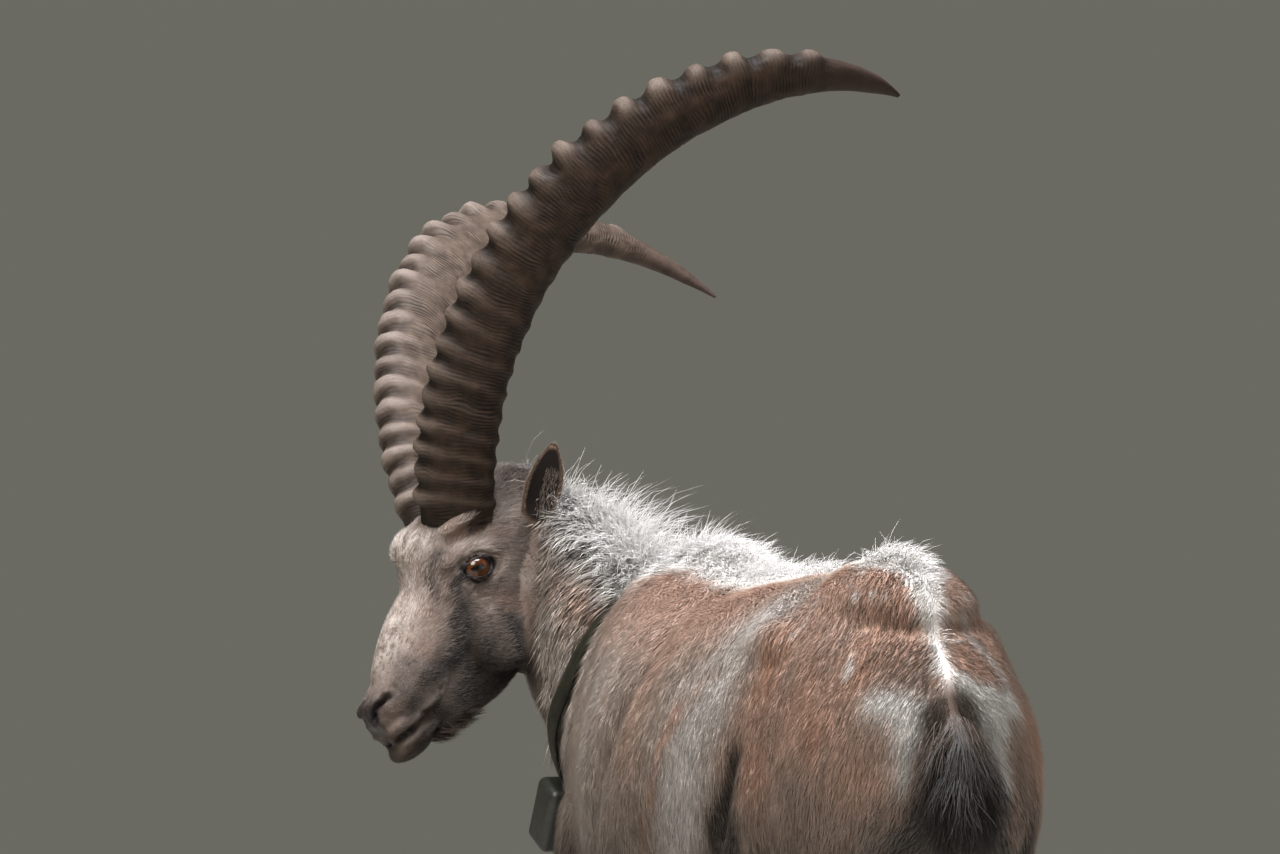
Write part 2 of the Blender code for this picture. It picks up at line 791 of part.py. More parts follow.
def horn_form(name, right):
    """A keeled horn: blunt front with knobs, round flanks and a narrower back."""
    sides = 10
    knobs = knob_shares()
    span = np.gradient(knobs)
    shares, swells = [0.0], [0.0]
    for place, room in zip(knobs, span):
        for offset, swell in KNOB_PROFILE:
            shares.append(place + offset * room)
            swells.append(swell)
    shares += list(np.linspace(shares[-1] + 0.03, 1.0, 5))
    swells += [0.0] * 5
    count = 400
    path, heading = horn_path(count, right)
    angle = np.arange(sides) * 2 * math.pi / sides
    rings = []
    for i, share in enumerate(shares):
        at = min(count, round(share * count))
        along = heading[at] / np.linalg.norm(heading[at])
        # The front of the horn faces away from the inside of its arc
        back = heading[min(count, at + 8)] - heading[max(0, at - 8)]
        front = -(back - along * back.dot(along))
        front /= np.linalg.norm(front)
        side = np.cross(along, front)
        size = horn_size(share)
        if right:
            size *= 1 - RIGHT_WORN * min(1.0, max(0.0, (share - 0.55) / 0.25))
        wide = HORN_WIDTH * size * (0.90 - 0.16 * np.cos(angle)) / 0.90
        deep = HORN_DEPTH * size
        swell = KNOB_RISE * (0.35 + 0.65 * size) * swells[i]
        facing = np.clip(np.cos(angle), 0, 1) ** 1.5
        out = deep * np.cos(angle) + swell * facing
        across = wide * np.sin(angle) * (1 + 0.05 * swells[i])
        rings.append(path[at] + np.outer(out, front) + np.outer(across, side))
    return skin_rings(name, rings)


def eye_form(name, right):
    return ball(name, EYE_AT, (EYE_RADIUS,) * 3, segments=14)


def ear_form(name, right):
    """A leaf-shaped ear with an open cup, from a round stalk to a blunt tip, in its own axes along +X."""
    rings = []
    rows = spline(
        (
            (-0.022, 0.012, 0.011, 0.0),
            (0.004, 0.014, 0.012, 0.10),
            (0.026, 0.020, 0.012, 0.62),
            (0.052, 0.0230, 0.010, 0.72),
            (0.074, 0.0195, 0.0080, 0.66),
            (0.091, 0.0120, 0.0055, 0.45),
            (0.101, 0.0035, 0.0028, 0.0),
        ),
        2,
    )
    half = 7
    for along, wide, deep, cup in rows:
        turn = np.linspace(0, math.pi, half)
        outer = np.stack([wide * np.cos(turn), -deep * np.sin(turn)], 1)
        turn = turn[1:-1][::-1]
        inner = np.stack([wide * 0.90 * np.cos(turn), deep * (1 - 2 * cup * 0.92) * np.sin(turn)], 1)
        ring = np.concatenate([outer, inner])
        rings.append(np.insert(ring, 0, along, axis=1))
    mesh = skin_rings(name, rings)
    mesh.transform(ear_matrix())
    return mesh


# The ears stand out and up behind the horns: direction of the ear and of its open side, in the head's axes
EAR_ROOT = (-0.082, 0.050, -0.004)
EAR_ALONG = Vector((-0.42, 0.60, 0.58)).normalized()
EAR_OPEN = Vector((0.42, 0.86, -0.20))


def ear_matrix():
    along = EAR_ALONG
    opening = (EAR_OPEN - along * EAR_OPEN.dot(along)).normalized()
    side = opening.cross(along)
    turn = Matrix((along, side, opening)).transposed().to_4x4()
    return Matrix.Translation(EAR_ROOT) @ turn


def claw_form(name, foot, side):
    """One of the two claws of a hoof: flat sole, sloping front wall, low heel."""
    x, y = foot
    outline = []
    for turn in np.linspace(-math.pi / 2, math.pi / 2, 9):
        outline.append((0.028 * math.cos(turn), HOOF_WIDTH / 2 * math.sin(turn)))
    outline = [(-0.026, -HOOF_WIDTH * 0.40)] + outline + [(-0.026, HOOF_WIDTH * 0.40)]
    outline = np.array(outline)
    rings = []
    for up, scale, shift in HOOF_RINGS:
        ring = outline * scale + (shift + x + 0.022, y + side * CLAW_SPREAD)
        rings.append(np.insert(ring, 2, up, axis=1))
    return skin_rings(name, rings)


# Collar: a band low round the neck with a small case under the throat
COLLAR_AT = Vector((0.475, 0.040, 0.735))
COLLAR_ALONG = Vector((0.87, 0.12, 0.45)).normalized()
BAND_WIDTH = 0.030
BAND_THICK = 0.004
CASE_AT = Vector((0.545, 0.089, 0.612))
CASE_SIZE = (0.046, 0.060, 0.074)


def collar_place(at):
    turn = COLLAR_ALONG.to_track_quat("X", "Z").to_matrix().to_4x4()
    return Matrix.Translation(at) @ turn


def collar_band(neck, helpers):
    """A flat ring that follows the neck's own surface."""
    band = inflated(neck, "collar_band", BAND_THICK + GAP, helpers)
    reach = 0.25
    low = (-BAND_WIDTH / 2, -reach, -reach)
    block_piece(band, (low, [-v for v in low], collar_place(COLLAR_AT)), 0.0, "INTERSECT", helpers)
    carve(band, neck, helpers)
    return band


def collar_case(band, neck, helpers):
    """The battery case, a rounded box under the throat that hangs on the band."""
    half = Vector(CASE_SIZE) / 2
    case = box_cutter(-half, half, collar_place(CASE_AT), helpers)
    rounding = case.modifiers.new("edges", "BEVEL")
    rounding.width = 0.009
    rounding.segments = 3
    settle(case)
    carve(case, neck, helpers)
    carve(case, band, helpers)
    return case


def clean_name(item, name, colour, rough, parts, metallic=0.0):
    """Moves a finished solid to the parts, with its own material."""
    for holder in list(item.users_collection):
        holder.objects.unlink(item)
    parts.objects.link(item)
    item.hide_render = False
    item.display_type = "TEXTURED"
    item.name = name
    item.data.name = name
    item.data.transform(Matrix.Translation(ROW_SHIFT))
    finish = bpy.data.materials.new(name)
    finish.use_nodes = True
    shader = finish.node_tree.nodes["Principled BSDF"]
    shader.inputs["Base Color"].default_value = (*colour, 1.0)
    shader.inputs["Roughness"].default_value = rough
    shader.inputs["Metallic"].default_value = metallic
    finish.diffuse_color = (*colour, 1.0)
    item.data.materials.clear()
    item.data.materials.append(finish)
    item.data.shade_smooth()
    item.data.set_sharp_from_angle(angle=math.radians(40))
    return item


FUR = (0.24, 0.17, 0.12)
DARK_FUR = (0.05, 0.035, 0.025)
HORN = (0.10, 0.07, 0.05)
HOOF = (0.03, 0.025, 0.02)
EYE = (0.25, 0.09, 0.02)
BAND = (0.02, 0.02, 0.012)


def pair(kind, form, head, helpers):
    """The left and the right one of a piece of the head, cut clear of the head where it is given."""
    made = []
    for side in ("left", "right"):
        mesh = form(kind, side == "right")
        shape = in_head(mesh if side == "left" else mirrored(mesh))
        piece = add_helper(f"{kind}_{side}", shape, helpers)
        if head:
            carve(piece, head, helpers, "MANIFOLD")
        made.append(piece)
    return made


def main():
    clear_scene()
    parts = new_collection("alpine_ibex")
    helpers = new_collection("cutters")
    helpers.hide_render = True

    def source():
        meshes = [trunk_form(), bar("neck", NECK, 24)]
        meshes += trunk_muscles()
        meshes += both_sides([foreleg_form(), hindleg_form(), hock_point()])
        meshes += both_sides(dewclaws(FORE_FOOT) + dewclaws(HIND_FOOT))
        meshes += [in_head(mesh) for mesh in [skull_form()] + face_forms()]
        return meshes

    body = fuse("body", source(), FLESH_VOXEL, 6, helpers)
    head = fuse("head_flesh", source(), HEAD_VOXEL, 3, helpers)
    overlap = 0.012
    block_piece(head, HEAD_BLOCK, overlap, "INTERSECT", helpers)
    block_piece(body, HEAD_BLOCK, -overlap, "DIFFERENCE", helpers)
    thin_out(head, HEAD_TRIANGLES)
    thin_out(body, BODY_TRIANGLES)
    block_piece(head, HEAD_BLOCK, -GAP / 2, "INTERSECT", helpers)
    block_piece(body, HEAD_BLOCK, GAP / 2, "DIFFERENCE", helpers)
    ears = pair("ear", ear_form, head, helpers)
    horns = pair("horn", horn_form, head, helpers)
    tail = add_helper("tail", tail_core(), helpers)
    add_locks(tail, tail_locks(7), helpers)
    for item in [*ears, tail]:
        carve(item, body, helpers, "MANIFOLD")
    add_face(head, helpers)
    add_locks(head, [in_head(mesh) for mesh in beard_locks(5)], helpers)
    bare_neck = duplicate(body, "bare_neck", helpers)
    block_piece(bare_neck, NECK_BLOCK, -GAP / 2, "INTERSECT", helpers)
    band = collar_band(bare_neck, helpers)
    case = collar_case(band, bare_neck, helpers)
    remove(bare_neck)
    crest = crest_locks(body, 3)
    for item in [*ears, *horns, band, head]:
        crest = clear_of(crest, item, helpers)
    add_locks(body, crest, helpers)

    # Hooves stand under the pasterns
    cut_plane(body, (0, 0, HOOF_HEIGHT + GAP), (0, 0, 1))
    legs = {
        "foreleg_left": part_off(body, "foreleg_left", FORE_BLOCK, helpers),
        "foreleg_right": part_off(body, "foreleg_right", FORE_BLOCK, helpers, -1),
        "hindleg_left": part_off(body, "hindleg_left", HIND_BLOCK, helpers),
        "hindleg_right": part_off(body, "hindleg_right", HIND_BLOCK, helpers, -1),
    }

    # The neck comes off the trunk in front of the shoulders
    neck = part_off(body, "neck", NECK_BLOCK, helpers)
    clean_name(band, "collar_band", BAND, 0.6, parts)
    clean_name(case, "collar_case", BAND, 0.5, parts)

    eyes = pair("eye", eye_form, None, helpers)
    for eye in eyes:
        carve(head, eye, helpers)
    for pieces, colour, rough in ((horns, HORN, 0.6), (ears, FUR, 0.9), (eyes, EYE, 0.1)):
        for piece in pieces:
            clean_name(piece, piece.name, colour, rough, parts)

    clean_name(body, "torso", FUR, 0.9, parts)
    clean_name(neck, "neck", FUR, 0.9, parts)
    clean_name(head, "head", FUR, 0.9, parts)
    clean_name(tail, "tail", DARK_FUR, 0.9, parts)
    for name, leg in legs.items():
        clean_name(leg, name, FUR, 0.9, parts)

    feet = (("fore", FORE_FOOT), ("hind", HIND_FOOT))
    for place, foot in feet:
        for side, sign in (("left", 1), ("right", -1)):
            for claw, offset in (("outer", sign), ("inner", -sign)):
                shape = claw_form("claw", (foot[0], foot[1] * sign), offset)
                piece = add_helper("claw", shape, helpers)
                clean_name(piece, f"hoof_{place}_{side}_{claw}", HOOF, 0.5, parts)


main()
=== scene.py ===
"""An adult male alpine ibex as a life-size still model, standing with its head turned back.

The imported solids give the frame. This file dresses them: one skin over the flesh, a coat of
tufts, a standing white crest, ringed horns, eyes, hooves and a tracking collar.
Lengths are metres. Forms are drawn about the middle of the trunk and moved to the frame at the end.
"""

import math

import bmesh
import bpy
import numpy as np
from mathutils import Matrix, Vector
from mathutils.bvhtree import BVHTree


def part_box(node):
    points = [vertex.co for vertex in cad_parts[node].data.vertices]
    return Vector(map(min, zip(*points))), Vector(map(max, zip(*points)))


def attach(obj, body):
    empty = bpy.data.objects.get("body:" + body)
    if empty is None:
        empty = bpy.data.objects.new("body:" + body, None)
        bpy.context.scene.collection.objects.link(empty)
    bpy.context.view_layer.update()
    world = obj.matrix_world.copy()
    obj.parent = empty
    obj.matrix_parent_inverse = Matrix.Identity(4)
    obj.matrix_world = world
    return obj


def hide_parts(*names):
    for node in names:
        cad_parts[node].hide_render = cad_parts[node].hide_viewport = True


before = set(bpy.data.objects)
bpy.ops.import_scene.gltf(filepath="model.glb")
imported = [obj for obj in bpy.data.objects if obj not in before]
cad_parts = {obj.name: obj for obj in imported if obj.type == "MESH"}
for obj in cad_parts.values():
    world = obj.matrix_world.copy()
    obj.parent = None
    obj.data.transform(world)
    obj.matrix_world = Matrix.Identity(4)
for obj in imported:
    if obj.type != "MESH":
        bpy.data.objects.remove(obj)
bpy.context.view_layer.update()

bl_info = {
    "name": "Alpine Ibex Model",
    "version": (1, 0, 0),
    "blender": (4, 5, 0),
    "location": "View3D > Sidebar > Ibex",
    "description": "Dresses the packed solids of a still alpine ibex with skin, coat, horns and collar",
    "category": "Object",
}

UP = Vector((0.0, 0.0, 1.0))

# Head axes: from between the eyes, first along the muzzle, then to its left, then to the brow
HEAD_AT = Vector((0.595, 0.192, 0.866))
HEAD_TURN = math.radians(104.0)
HEAD_DIP = math.radians(35.0)
HEAD_ROLL = math.radians(11.2)
HEAD = (
    Matrix.Translation(HEAD_AT)
    @ Matrix.Rotation(HEAD_TURN, 4, "Z")
    @ Matrix.Rotation(HEAD_DIP, 4, "Y")
    @ Matrix.Rotation(HEAD_ROLL, 4, "X")
)
EYE_AT = Vector((0.000, 0.0460, 0.000))
EYE_RADIUS = 0.0172

# The frame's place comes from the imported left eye, whose centre is a named point of the head
EYE_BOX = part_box("eye_left")
TO_FRAME = Matrix.Translation((EYE_BOX[0] + EYE_BOX[1]) / 2 - HEAD @ EYE_AT)


# Small tools for meshes and numbers

def matrix_rows(matrix):
    return np.array(matrix)[:3]


def moved(points, matrix):
    rows = matrix_rows(matrix)
    return np.asarray(points) @ rows[:, :3].T + rows[:, 3]


def turned(ways, matrix):
    return np.asarray(ways) @ matrix_rows(matrix)[:, :3].T


HEAD_BACK = HEAD.inverted()


def unit(ways):
    return ways / np.maximum(np.linalg.norm(ways, axis=-1, keepdims=True), 1e-9)


def ease(low, high, value):
    """0 below low, 1 above high and smooth between."""
    t = np.clip((value - low) / (high - low), 0, 1)
    return t * t * (3 - 2 * t)


def spline(values, steps):
    """Catmull-Rom through rows of numbers, with this many steps between two rows."""
    rows = np.array(values, float)
    ends = np.vstack([2 * rows[0] - rows[1], rows, 2 * rows[-1] - rows[-2]])
    made = []
    for i in range(len(rows) - 1):
        a, b, c, d = ends[i : i + 4]
        for t in np.arange(steps) / steps:
            bend = (2 * a - 5 * b + 4 * c - d) * t**2 + (3 * b - a - 3 * c + d) * t**3
            made.append(0.5 * (2 * b + (c - a) * t + bend))
    made.append(rows[-1])
    return np.array(made)


def hashed(cells):
    """An even random number from 0 to 1 for each whole-number cell."""
    mixed = (cells[:, 0] * 374761393 + cells[:, 1] * 668265263 + cells[:, 2] * 1274126177) & 0xFFFFFFFF
    mixed = ((mixed ^ (mixed >> 13)) * 1274126177) & 0xFFFFFFFF
    return ((mixed ^ (mixed >> 16)) & 0xFFFFFF) / 0xFFFFFF


def cloud(points, size, seed=0):
    """Smooth noise from -1 to 1 whose lumps are about this size."""
    place = np.asarray(points, float) / size + 13.7 * seed
    cell = np.floor(place).astype(np.int64)
    share = place - cell
    share = share * share * (3 - 2 * share)
    total = np.zeros(len(place))
    for corner in range(8):
        step = np.array([corner & 1, corner >> 1 & 1, corner >> 2 & 1])
        total += hashed(cell + step) * np.prod(np.where(step, share, 1 - share), axis=1)
    return total * 2 - 1


def distance_to(points, path):
    """How far each point is from a line through these places."""
    path = np.atleast_2d(np.array(path, float))
    best = np.linalg.norm(points - path[0], axis=1)
    for a, b in zip(path[:-1], path[1:]):
        along = b - a
        share = np.clip(((points - a) @ along) / (along @ along), 0, 1)
        best = np.minimum(best, np.linalg.norm(points - a - share[:, None] * along, axis=1))
    return best


def streaks(points, flow, long, thin, seed):
    """Noise drawn out along a direction."""
    flow = np.array(flow) / np.linalg.norm(flow)
    along = (points @ flow)[:, None]
    return cloud(points + flow * along * (thin / long - 1), thin, seed)


def near(points, path, width):
    """1 on a line, falling smoothly to nothing past its width."""
    return np.exp(-((distance_to(points, path) / width) ** 2))


def deselect():
    bpy.ops.object.select_all(action="DESELECT")


def choose(item):
    deselect()
    item.select_set(True)
    bpy.context.view_layer.objects.active = item


def apply_modifiers(item):
    choose(item)
    for modifier in list(item.modifiers):
        bpy.ops.object.modifier_apply(modifier=modifier.name)


def mesh_object(name, points, faces):
    """An object from points and faces of any size, faces given as one list or as even rows."""
    mesh = bpy.data.meshes.new(name)
    mesh.from_pydata([tuple(p) for p in points], [], [tuple(int(v) for v in f) for f in faces])
    mesh.validate()
    item = bpy.data.objects.new(name, mesh)
    bpy.context.scene.collection.objects.link(item)
    return item


def outward(item):
    """Turns every face to point out of its closed shape."""
    work = bmesh.new()
    work.from_mesh(item.data)
    bmesh.ops.recalc_face_normals(work, faces=work.faces)
    if work.calc_volume(signed=True) < 0:
        bmesh.ops.reverse_faces(work, faces=work.faces)
    work.to_mesh(item.data)
    work.free()


def ring_faces(rings, sides, capped=True):
    """Faces over rings of points that follow each other."""
    low = np.arange(rings - 1)[:, None] * sides
    here = np.arange(sides)[None]
    ahead = (here + 1) % sides
    quads = np.stack([low + here, low + ahead, low + sides + ahead, low + sides + here], -1)
    faces = [tuple(q) for q in quads.reshape(-1, 4)]
    if capped:
        faces.append(tuple(range(sides))[::-1])
        faces.append(tuple(range((rings - 1) * sides, rings * sides)))
    return faces


def loft(name, rings, capped=True):
    rings = np.array(rings)
    count, sides = rings.shape[:2]
    item = mesh_object(name, rings.reshape(-1, 3), ring_faces(count, sides, capped))
    outward(item)
    return item


def coordinates(mesh):
    flat = np.empty(len(mesh.vertices) * 3)
    mesh.vertices.foreach_get("co", flat)
    return flat.reshape(-1, 3)


def set_coordinates(mesh, points):
    mesh.vertices.foreach_set("co", np.asarray(points, np.float32).ravel())
    mesh.update()


def normals_of(mesh):
    flat = np.empty(len(mesh.vertices) * 3)
    mesh.vertex_normals.foreach_get("vector", flat)
    return flat.reshape(-1, 3)


def paint(mesh, name, values):
    """Stores one number, or four, for each point of a mesh."""
    values = np.asarray(values, np.float32)
    kind = "FLOAT" if values.ndim == 1 else "FLOAT_COLOR"
    layer = mesh.attributes.new(name, kind, "POINT")
    layer.data.foreach_set("value" if values.ndim == 1 else "color", values.ravel())


def finish_piece(item, material, replaced=(), smooth=True):
    """Moves a piece from the drawing's axes to the frame, dresses it and fixes it to the body."""
    item.data.transform(TO_FRAME)
    if smooth:
        item.data.shade_smooth()
    item.data.materials.clear()
    item.data.materials.append(material)
    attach(item, "root")
    if replaced:
        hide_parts(*replaced)
    return item


# Materials

def linear(hex_colour):
    """sRGB hex to linear red, green, blue and full alpha."""
    shares = [int(hex_colour[i : i + 2], 16) / 255 for i in (1, 3, 5)]
    return [s / 12.92 if s <= 0.04045 else ((s + 0.055) / 1.055) ** 2.4 for s in shares] + [1.0]


def add_node(tree, kind, settings=None, inputs=None):
    """Adds a node; each input is a value or another node's output."""
    node = tree.nodes.new(kind)
    for name, value in (settings or {}).items():
        setattr(node, name, value)
    for name, value in (inputs or {}).items():
        if isinstance(value, bpy.types.NodeSocket):
            tree.links.new(value, node.inputs[name])
        else:
            node.inputs[name].default_value = value
    return node


def new_material(name, roughness, specular=0.5):
    """A material with its shader and a texture coordinate node."""
    material = bpy.data.materials.new(name)
    material.use_nodes = True
    tree = material.node_tree
    shader = tree.nodes["Principled BSDF"]
    shader.inputs["Roughness"].default_value = roughness
    shader.inputs["Specular IOR Level"].default_value = specular
    place = tree.nodes.new("ShaderNodeTexCoord").outputs["Object"]
    return material, tree, shader, place


def mix(tree, share, first, second, blend="MIX"):
    inputs = {"Factor": share, "A": first, "B": second}
    node = tree.nodes.new("ShaderNodeMix")
    node.data_type = "RGBA"
    node.blend_type = blend
    sockets = {"Factor": node.inputs[0], "A": node.inputs[6], "B": node.inputs[7]}
    for name, value in inputs.items():
        if isinstance(value, bpy.types.NodeSocket):
            tree.links.new(value, sockets[name])
        else:
            sockets[name].default_value = value
    return node.outputs[2]


def noise(tree, place, size_mm, detail=3.0, roughness=0.55):
    """Noise whose lumps have about this size; its value runs from 0 to 1."""
    inputs = {"Vector": place, "Scale": 1000.0 / size_mm, "Detail": detail, "Roughness": roughness}
    return add_node(tree, "ShaderNodeTexNoise", None, inputs).outputs["Fac"]


def ranged(tree, value, low, high, to_low=0.0, to_high=1.0):
    inputs = {"Value": value, "From Min": low, "From Max": high, "To Min": to_low, "To Max": to_high}
    return add_node(tree, "ShaderNodeMapRange", None, inputs).outputs["Result"]


def attribute(tree, name):
    return add_node(tree, "ShaderNodeAttribute", {"attribute_name": name})


def add_bump(tree, shader, height, depth_mm, strength=1.0):
    inputs = {"Height": height, "Strength": strength, "Distance": depth_mm / 1000.0}
    bump = add_node(tree, "ShaderNodeBump", None, inputs)
    tree.links.new(bump.outputs["Normal"], shader.inputs["Normal"])


def math_node(tree, operation, first, second):
    return add_node(tree, "ShaderNodeMath", {"operation": operation}, {0: first, 1: second}).outputs[0]


# Forms of the flesh, the same as the solids', out to the tips of the coat

# Along the spine: place, height of the back, height of the belly, half width
TRUNK = (
    (-0.555, 0.745, 0.640, 0.045),
    (-0.520, 0.805, 0.555, 0.088),
    (-0.440, 0.855, 0.500, 0.122),
    (-0.330, 0.878, 0.485, 0.142),
    (-0.190, 0.880, 0.468, 0.164),
    (-0.030, 0.872, 0.442, 0.192),
    (0.110, 0.876, 0.425, 0.196),
    (0.240, 0.892, 0.420, 0.168),
    (0.350, 0.882, 0.445, 0.142),
    (0.440, 0.835, 0.500, 0.118),
    (0.505, 0.765, 0.580, 0.075),
)

# Neck: centre, half width and half depth from the chest to the back of the skull
NECK = (
    ((0.300, 0.000, 0.700), 0.110, 0.165),
    ((0.400, 0.010, 0.700), 0.112, 0.165),
    ((0.490, 0.030, 0.745), 0.094, 0.140),
    ((0.560, 0.055, 0.810), 0.080, 0.114),
    ((0.610, 0.085, 0.868), 0.070, 0.096),
    ((0.625, 0.120, 0.895), 0.060, 0.075),
)

# Along the head's first axis: place, top, bottom, half width
SKULL = (
    (-0.135, 0.040, -0.050, 0.040),
    (-0.110, 0.062, -0.080, 0.056),
    (-0.055, 0.076, -0.104, 0.064),
    (0.000, 0.078, -0.118, 0.060),
    (0.034, 0.070, -0.126, 0.053),
    (0.062, 0.030, -0.128, 0.045),
    (0.100, 0.003, -0.126, 0.037),
    (0.142, -0.024, -0.120, 0.032),
    (0.168, -0.040, -0.115, 0.028),
    (0.183, -0.054, -0.104, 0.021),
)

FORE_FOOT = (0.335, 0.104)
HIND_FOOT = (-0.440, 0.092)
FORELEG = (
    ((-0.010, -0.012, 0.600), 0.052, 0.078),
    ((-0.024, -0.008, 0.500), 0.040, 0.058),
    ((-0.016, -0.004, 0.400), 0.029, 0.037),
    ((-0.006, 0.000, 0.315), 0.027, 0.031),
    ((-0.004, 0.000, 0.275), 0.027, 0.031),
    ((-0.010, 0.000, 0.220), 0.019, 0.022),
    ((-0.014, 0.000, 0.150), 0.018, 0.021),
    ((-0.018, 0.000, 0.105), 0.024, 0.027),
    ((-0.006, 0.000, 0.070), 0.022, 0.024),
    ((0.004, 0.000, 0.040), 0.027, 0.029),
    ((0.008, 0.000, 0.020), 0.027, 0.029),
)
HINDLEG = (
    ((0.060, -0.012, 0.620), 0.048, 0.112),
    ((0.062, -0.008, 0.520), 0.044, 0.086),
    ((0.034, -0.004, 0.430), 0.034, 0.056),
    ((-0.022, 0.000, 0.355), 0.025, 0.038),
    ((-0.040, 0.000, 0.310), 0.024, 0.036),
    ((-0.034, 0.000, 0.260), 0.021, 0.027),
    ((-0.026, 0.000, 0.170), 0.019, 0.023),
    ((-0.024, 0.000, 0.110), 0.024, 0.028),
    ((-0.008, 0.000, 0.072), 0.022, 0.024),
    ((0.004, 0.000, 0.040), 0.027, 0.029),
    ((0.008, 0.000, 0.020), 0.027, 0.029),
)
TAIL_ROOT = Vector((-0.520, 0.0, 0.765))
TAIL = (
    ((0.050, 0.0, 0.006), 0.018, 0.012),
    ((0.005, 0.0, -0.008), 0.018, 0.013),
    ((-0.036, 0.0, -0.042), 0.015, 0.012),
    ((-0.054, 0.0, -0.082), 0.011, 0.008),
    ((-0.058, 0.0, -0.104), 0.005, 0.004),
)

# Left-hand muscles of the trunk: centre, radii, forward tilt in degrees
SHOULDER_LEAN = -24
MUSCLES = (
    ((0.290, 0.090, 0.720), (0.085, 0.050, 0.145), SHOULDER_LEAN),
    ((0.330, 0.112, 0.580), (0.080, 0.045, 0.105), 0),
    ((-0.385, 0.074, 0.660), (0.125, 0.064, 0.150), SHOULDER_LEAN),
    ((-0.395, 0.074, 0.560), (0.110, 0.048, 0.130), 0),
    ((-0.275, 0.084, 0.802), (0.095, 0.046, 0.040), 0),
    ((HIND_FOOT[0] - 0.062, HIND_FOOT[1], 0.335), (0.018, 0.014, 0.030), 0),
    ((FORE_FOOT[0] - 0.042, FORE_FOOT[1] + 0.014, 0.082), (0.011, 0.008, 0.014), 0),
    ((FORE_FOOT[0] - 0.042, FORE_FOOT[1] - 0.014, 0.082), (0.011, 0.008, 0.014), 0),
    ((HIND_FOOT[0] - 0.042, HIND_FOOT[1] + 0.014, 0.082), (0.011, 0.008, 0.014), 0),
    ((HIND_FOOT[0] - 0.042, HIND_FOOT[1] - 0.014, 0.082), (0.011, 0.008, 0.014), 0),
)
MIDDLE_MUSCLES = (
    ((0.440, 0.0, 0.600), (0.090, 0.095, 0.120), 0),
    ((0.250, 0.0, 0.845), (0.150, 0.055, 0.058), 0),
    ((-0.350, 0.0, 0.840), (0.150, 0.080, 0.056), 0),
)

# Left-hand forms of the face in the head's axes: cheek, brow, eye socket, muzzle side, nostril wing, lips, horn seat
FACE = (
    ((0.010, 0.034, -0.066), (0.052, 0.022, 0.048), 0),
    ((0.008, 0.046, 0.024), (0.030, 0.014, 0.012), 0),
    ((0.000, 0.042, 0.000), (0.030, 0.017, 0.026), 0),
    ((0.120, 0.024, -0.060), (0.055, 0.014, 0.030), 0),
    ((0.168, 0.013, -0.056), (0.017, 0.013, 0.016), 0),
    ((0.154, 0.020, -0.082), (0.031, 0.012, 0.011), 0),
    ((0.150, 0.016, -0.104), (0.030, 0.012, 0.009), 0),
    ((-0.030, 0.035, 0.050), (0.046, 0.032, 0.018), 0),
)
# Chin, nasal ridge, forehead, nose tip and poll
NOSE_SLOPE = 30.4
MIDDLE_FACE = (
    ((0.160, 0.0, -0.108), (0.030, 0.024, 0.016), 0),
    ((0.098, 0.0, -0.004), (0.070, 0.019, 0.015), NOSE_SLOPE),
    ((0.022, 0.0, 0.050), (0.030, 0.036, 0.028), 0),
    ((0.176, 0.0, -0.062), (0.011, 0.017, 0.019), 0),
    ((-0.100, 0.0, 0.030), (0.040, 0.052, 0.042), 0),
)
BODY_VOXEL = 0.0060
HEAD_VOXEL = 0.0020


def section(centre, side, up, half_side, half_up, sides, square=1.0):
    """A rounded section: square below 1 fills its corners."""
    angle = np.arange(sides) * 2 * math.pi / sides
    across = np.sign(np.cos(angle)) * np.abs(np.cos(angle)) ** square * half_side
    upward = np.sign(np.sin(angle)) * np.abs(np.sin(angle)) ** square * half_up
    return np.array(centre) + np.outer(across, side) + np.outer(upward, up)


def limb(name, stations, origin, sides=24, steps=5):
    """A limb-like form along its stations of centre, half width and half depth."""
    rows = spline([tuple(np.add(centre, origin)) + (wide, deep) for centre, wide, deep in stations], steps)
    path = unit(np.gradient(rows[:, :3], axis=0))
    depth = unit(np.cross(path, (0.0, 1.0, 0.0)))
    side = np.cross(depth, path)
    rings = [section(r[:3], s, d, r[3], r[4], sides) for r, s, d in zip(rows, side, depth)]
    return loft(name, rings)


def upright_loft(name, table, sides, square, narrow_low=0.0):
    """A form with upright oval sections along its first axis."""
    rings = []
    for x, top, bottom, wide in spline(table, 5):
        ring = section((x, 0, (top + bottom) / 2), (0, 1, 0), (0, 0, 1), wide, (top - bottom) / 2, sides, square)
        low = (ring[:, 2] - bottom) / (top - bottom)
        ring[:, 1] *= 1 - narrow_low * (1 - np.clip(low * 1.6, 0, 1))
        rings.append(ring)
    return loft(name, rings)


def balls(table, place, mirror):
    """Rounded muscles; with mirror each also has a right-hand twin."""
    made = []
    for centre, radii, tilt in table:
        for side in (1, -1) if mirror else (1,):
            bpy.ops.mesh.primitive_uv_sphere_add(segments=20, ring_count=12, radius=1.0)
            item = bpy.context.active_object
            at = Vector((centre[0], centre[1] * side, centre[2]))
            tilted = Matrix.Rotation(math.radians(tilt), 4, "Y")
            item.data.transform(place @ Matrix.Translation(at) @ tilted @ Matrix.Diagonal((*radii, 1.0)))
            made.append(item)
    return made


def mirrored_limb(name, stations, foot):
    left = limb(name, stations, (foot[0], foot[1], 0.0))
    flipped = [((at[0], -at[1], at[2]), wide, deep) for at, wide, deep in stations]
    return [left, limb(name, flipped, (foot[0], -foot[1], 0.0))]


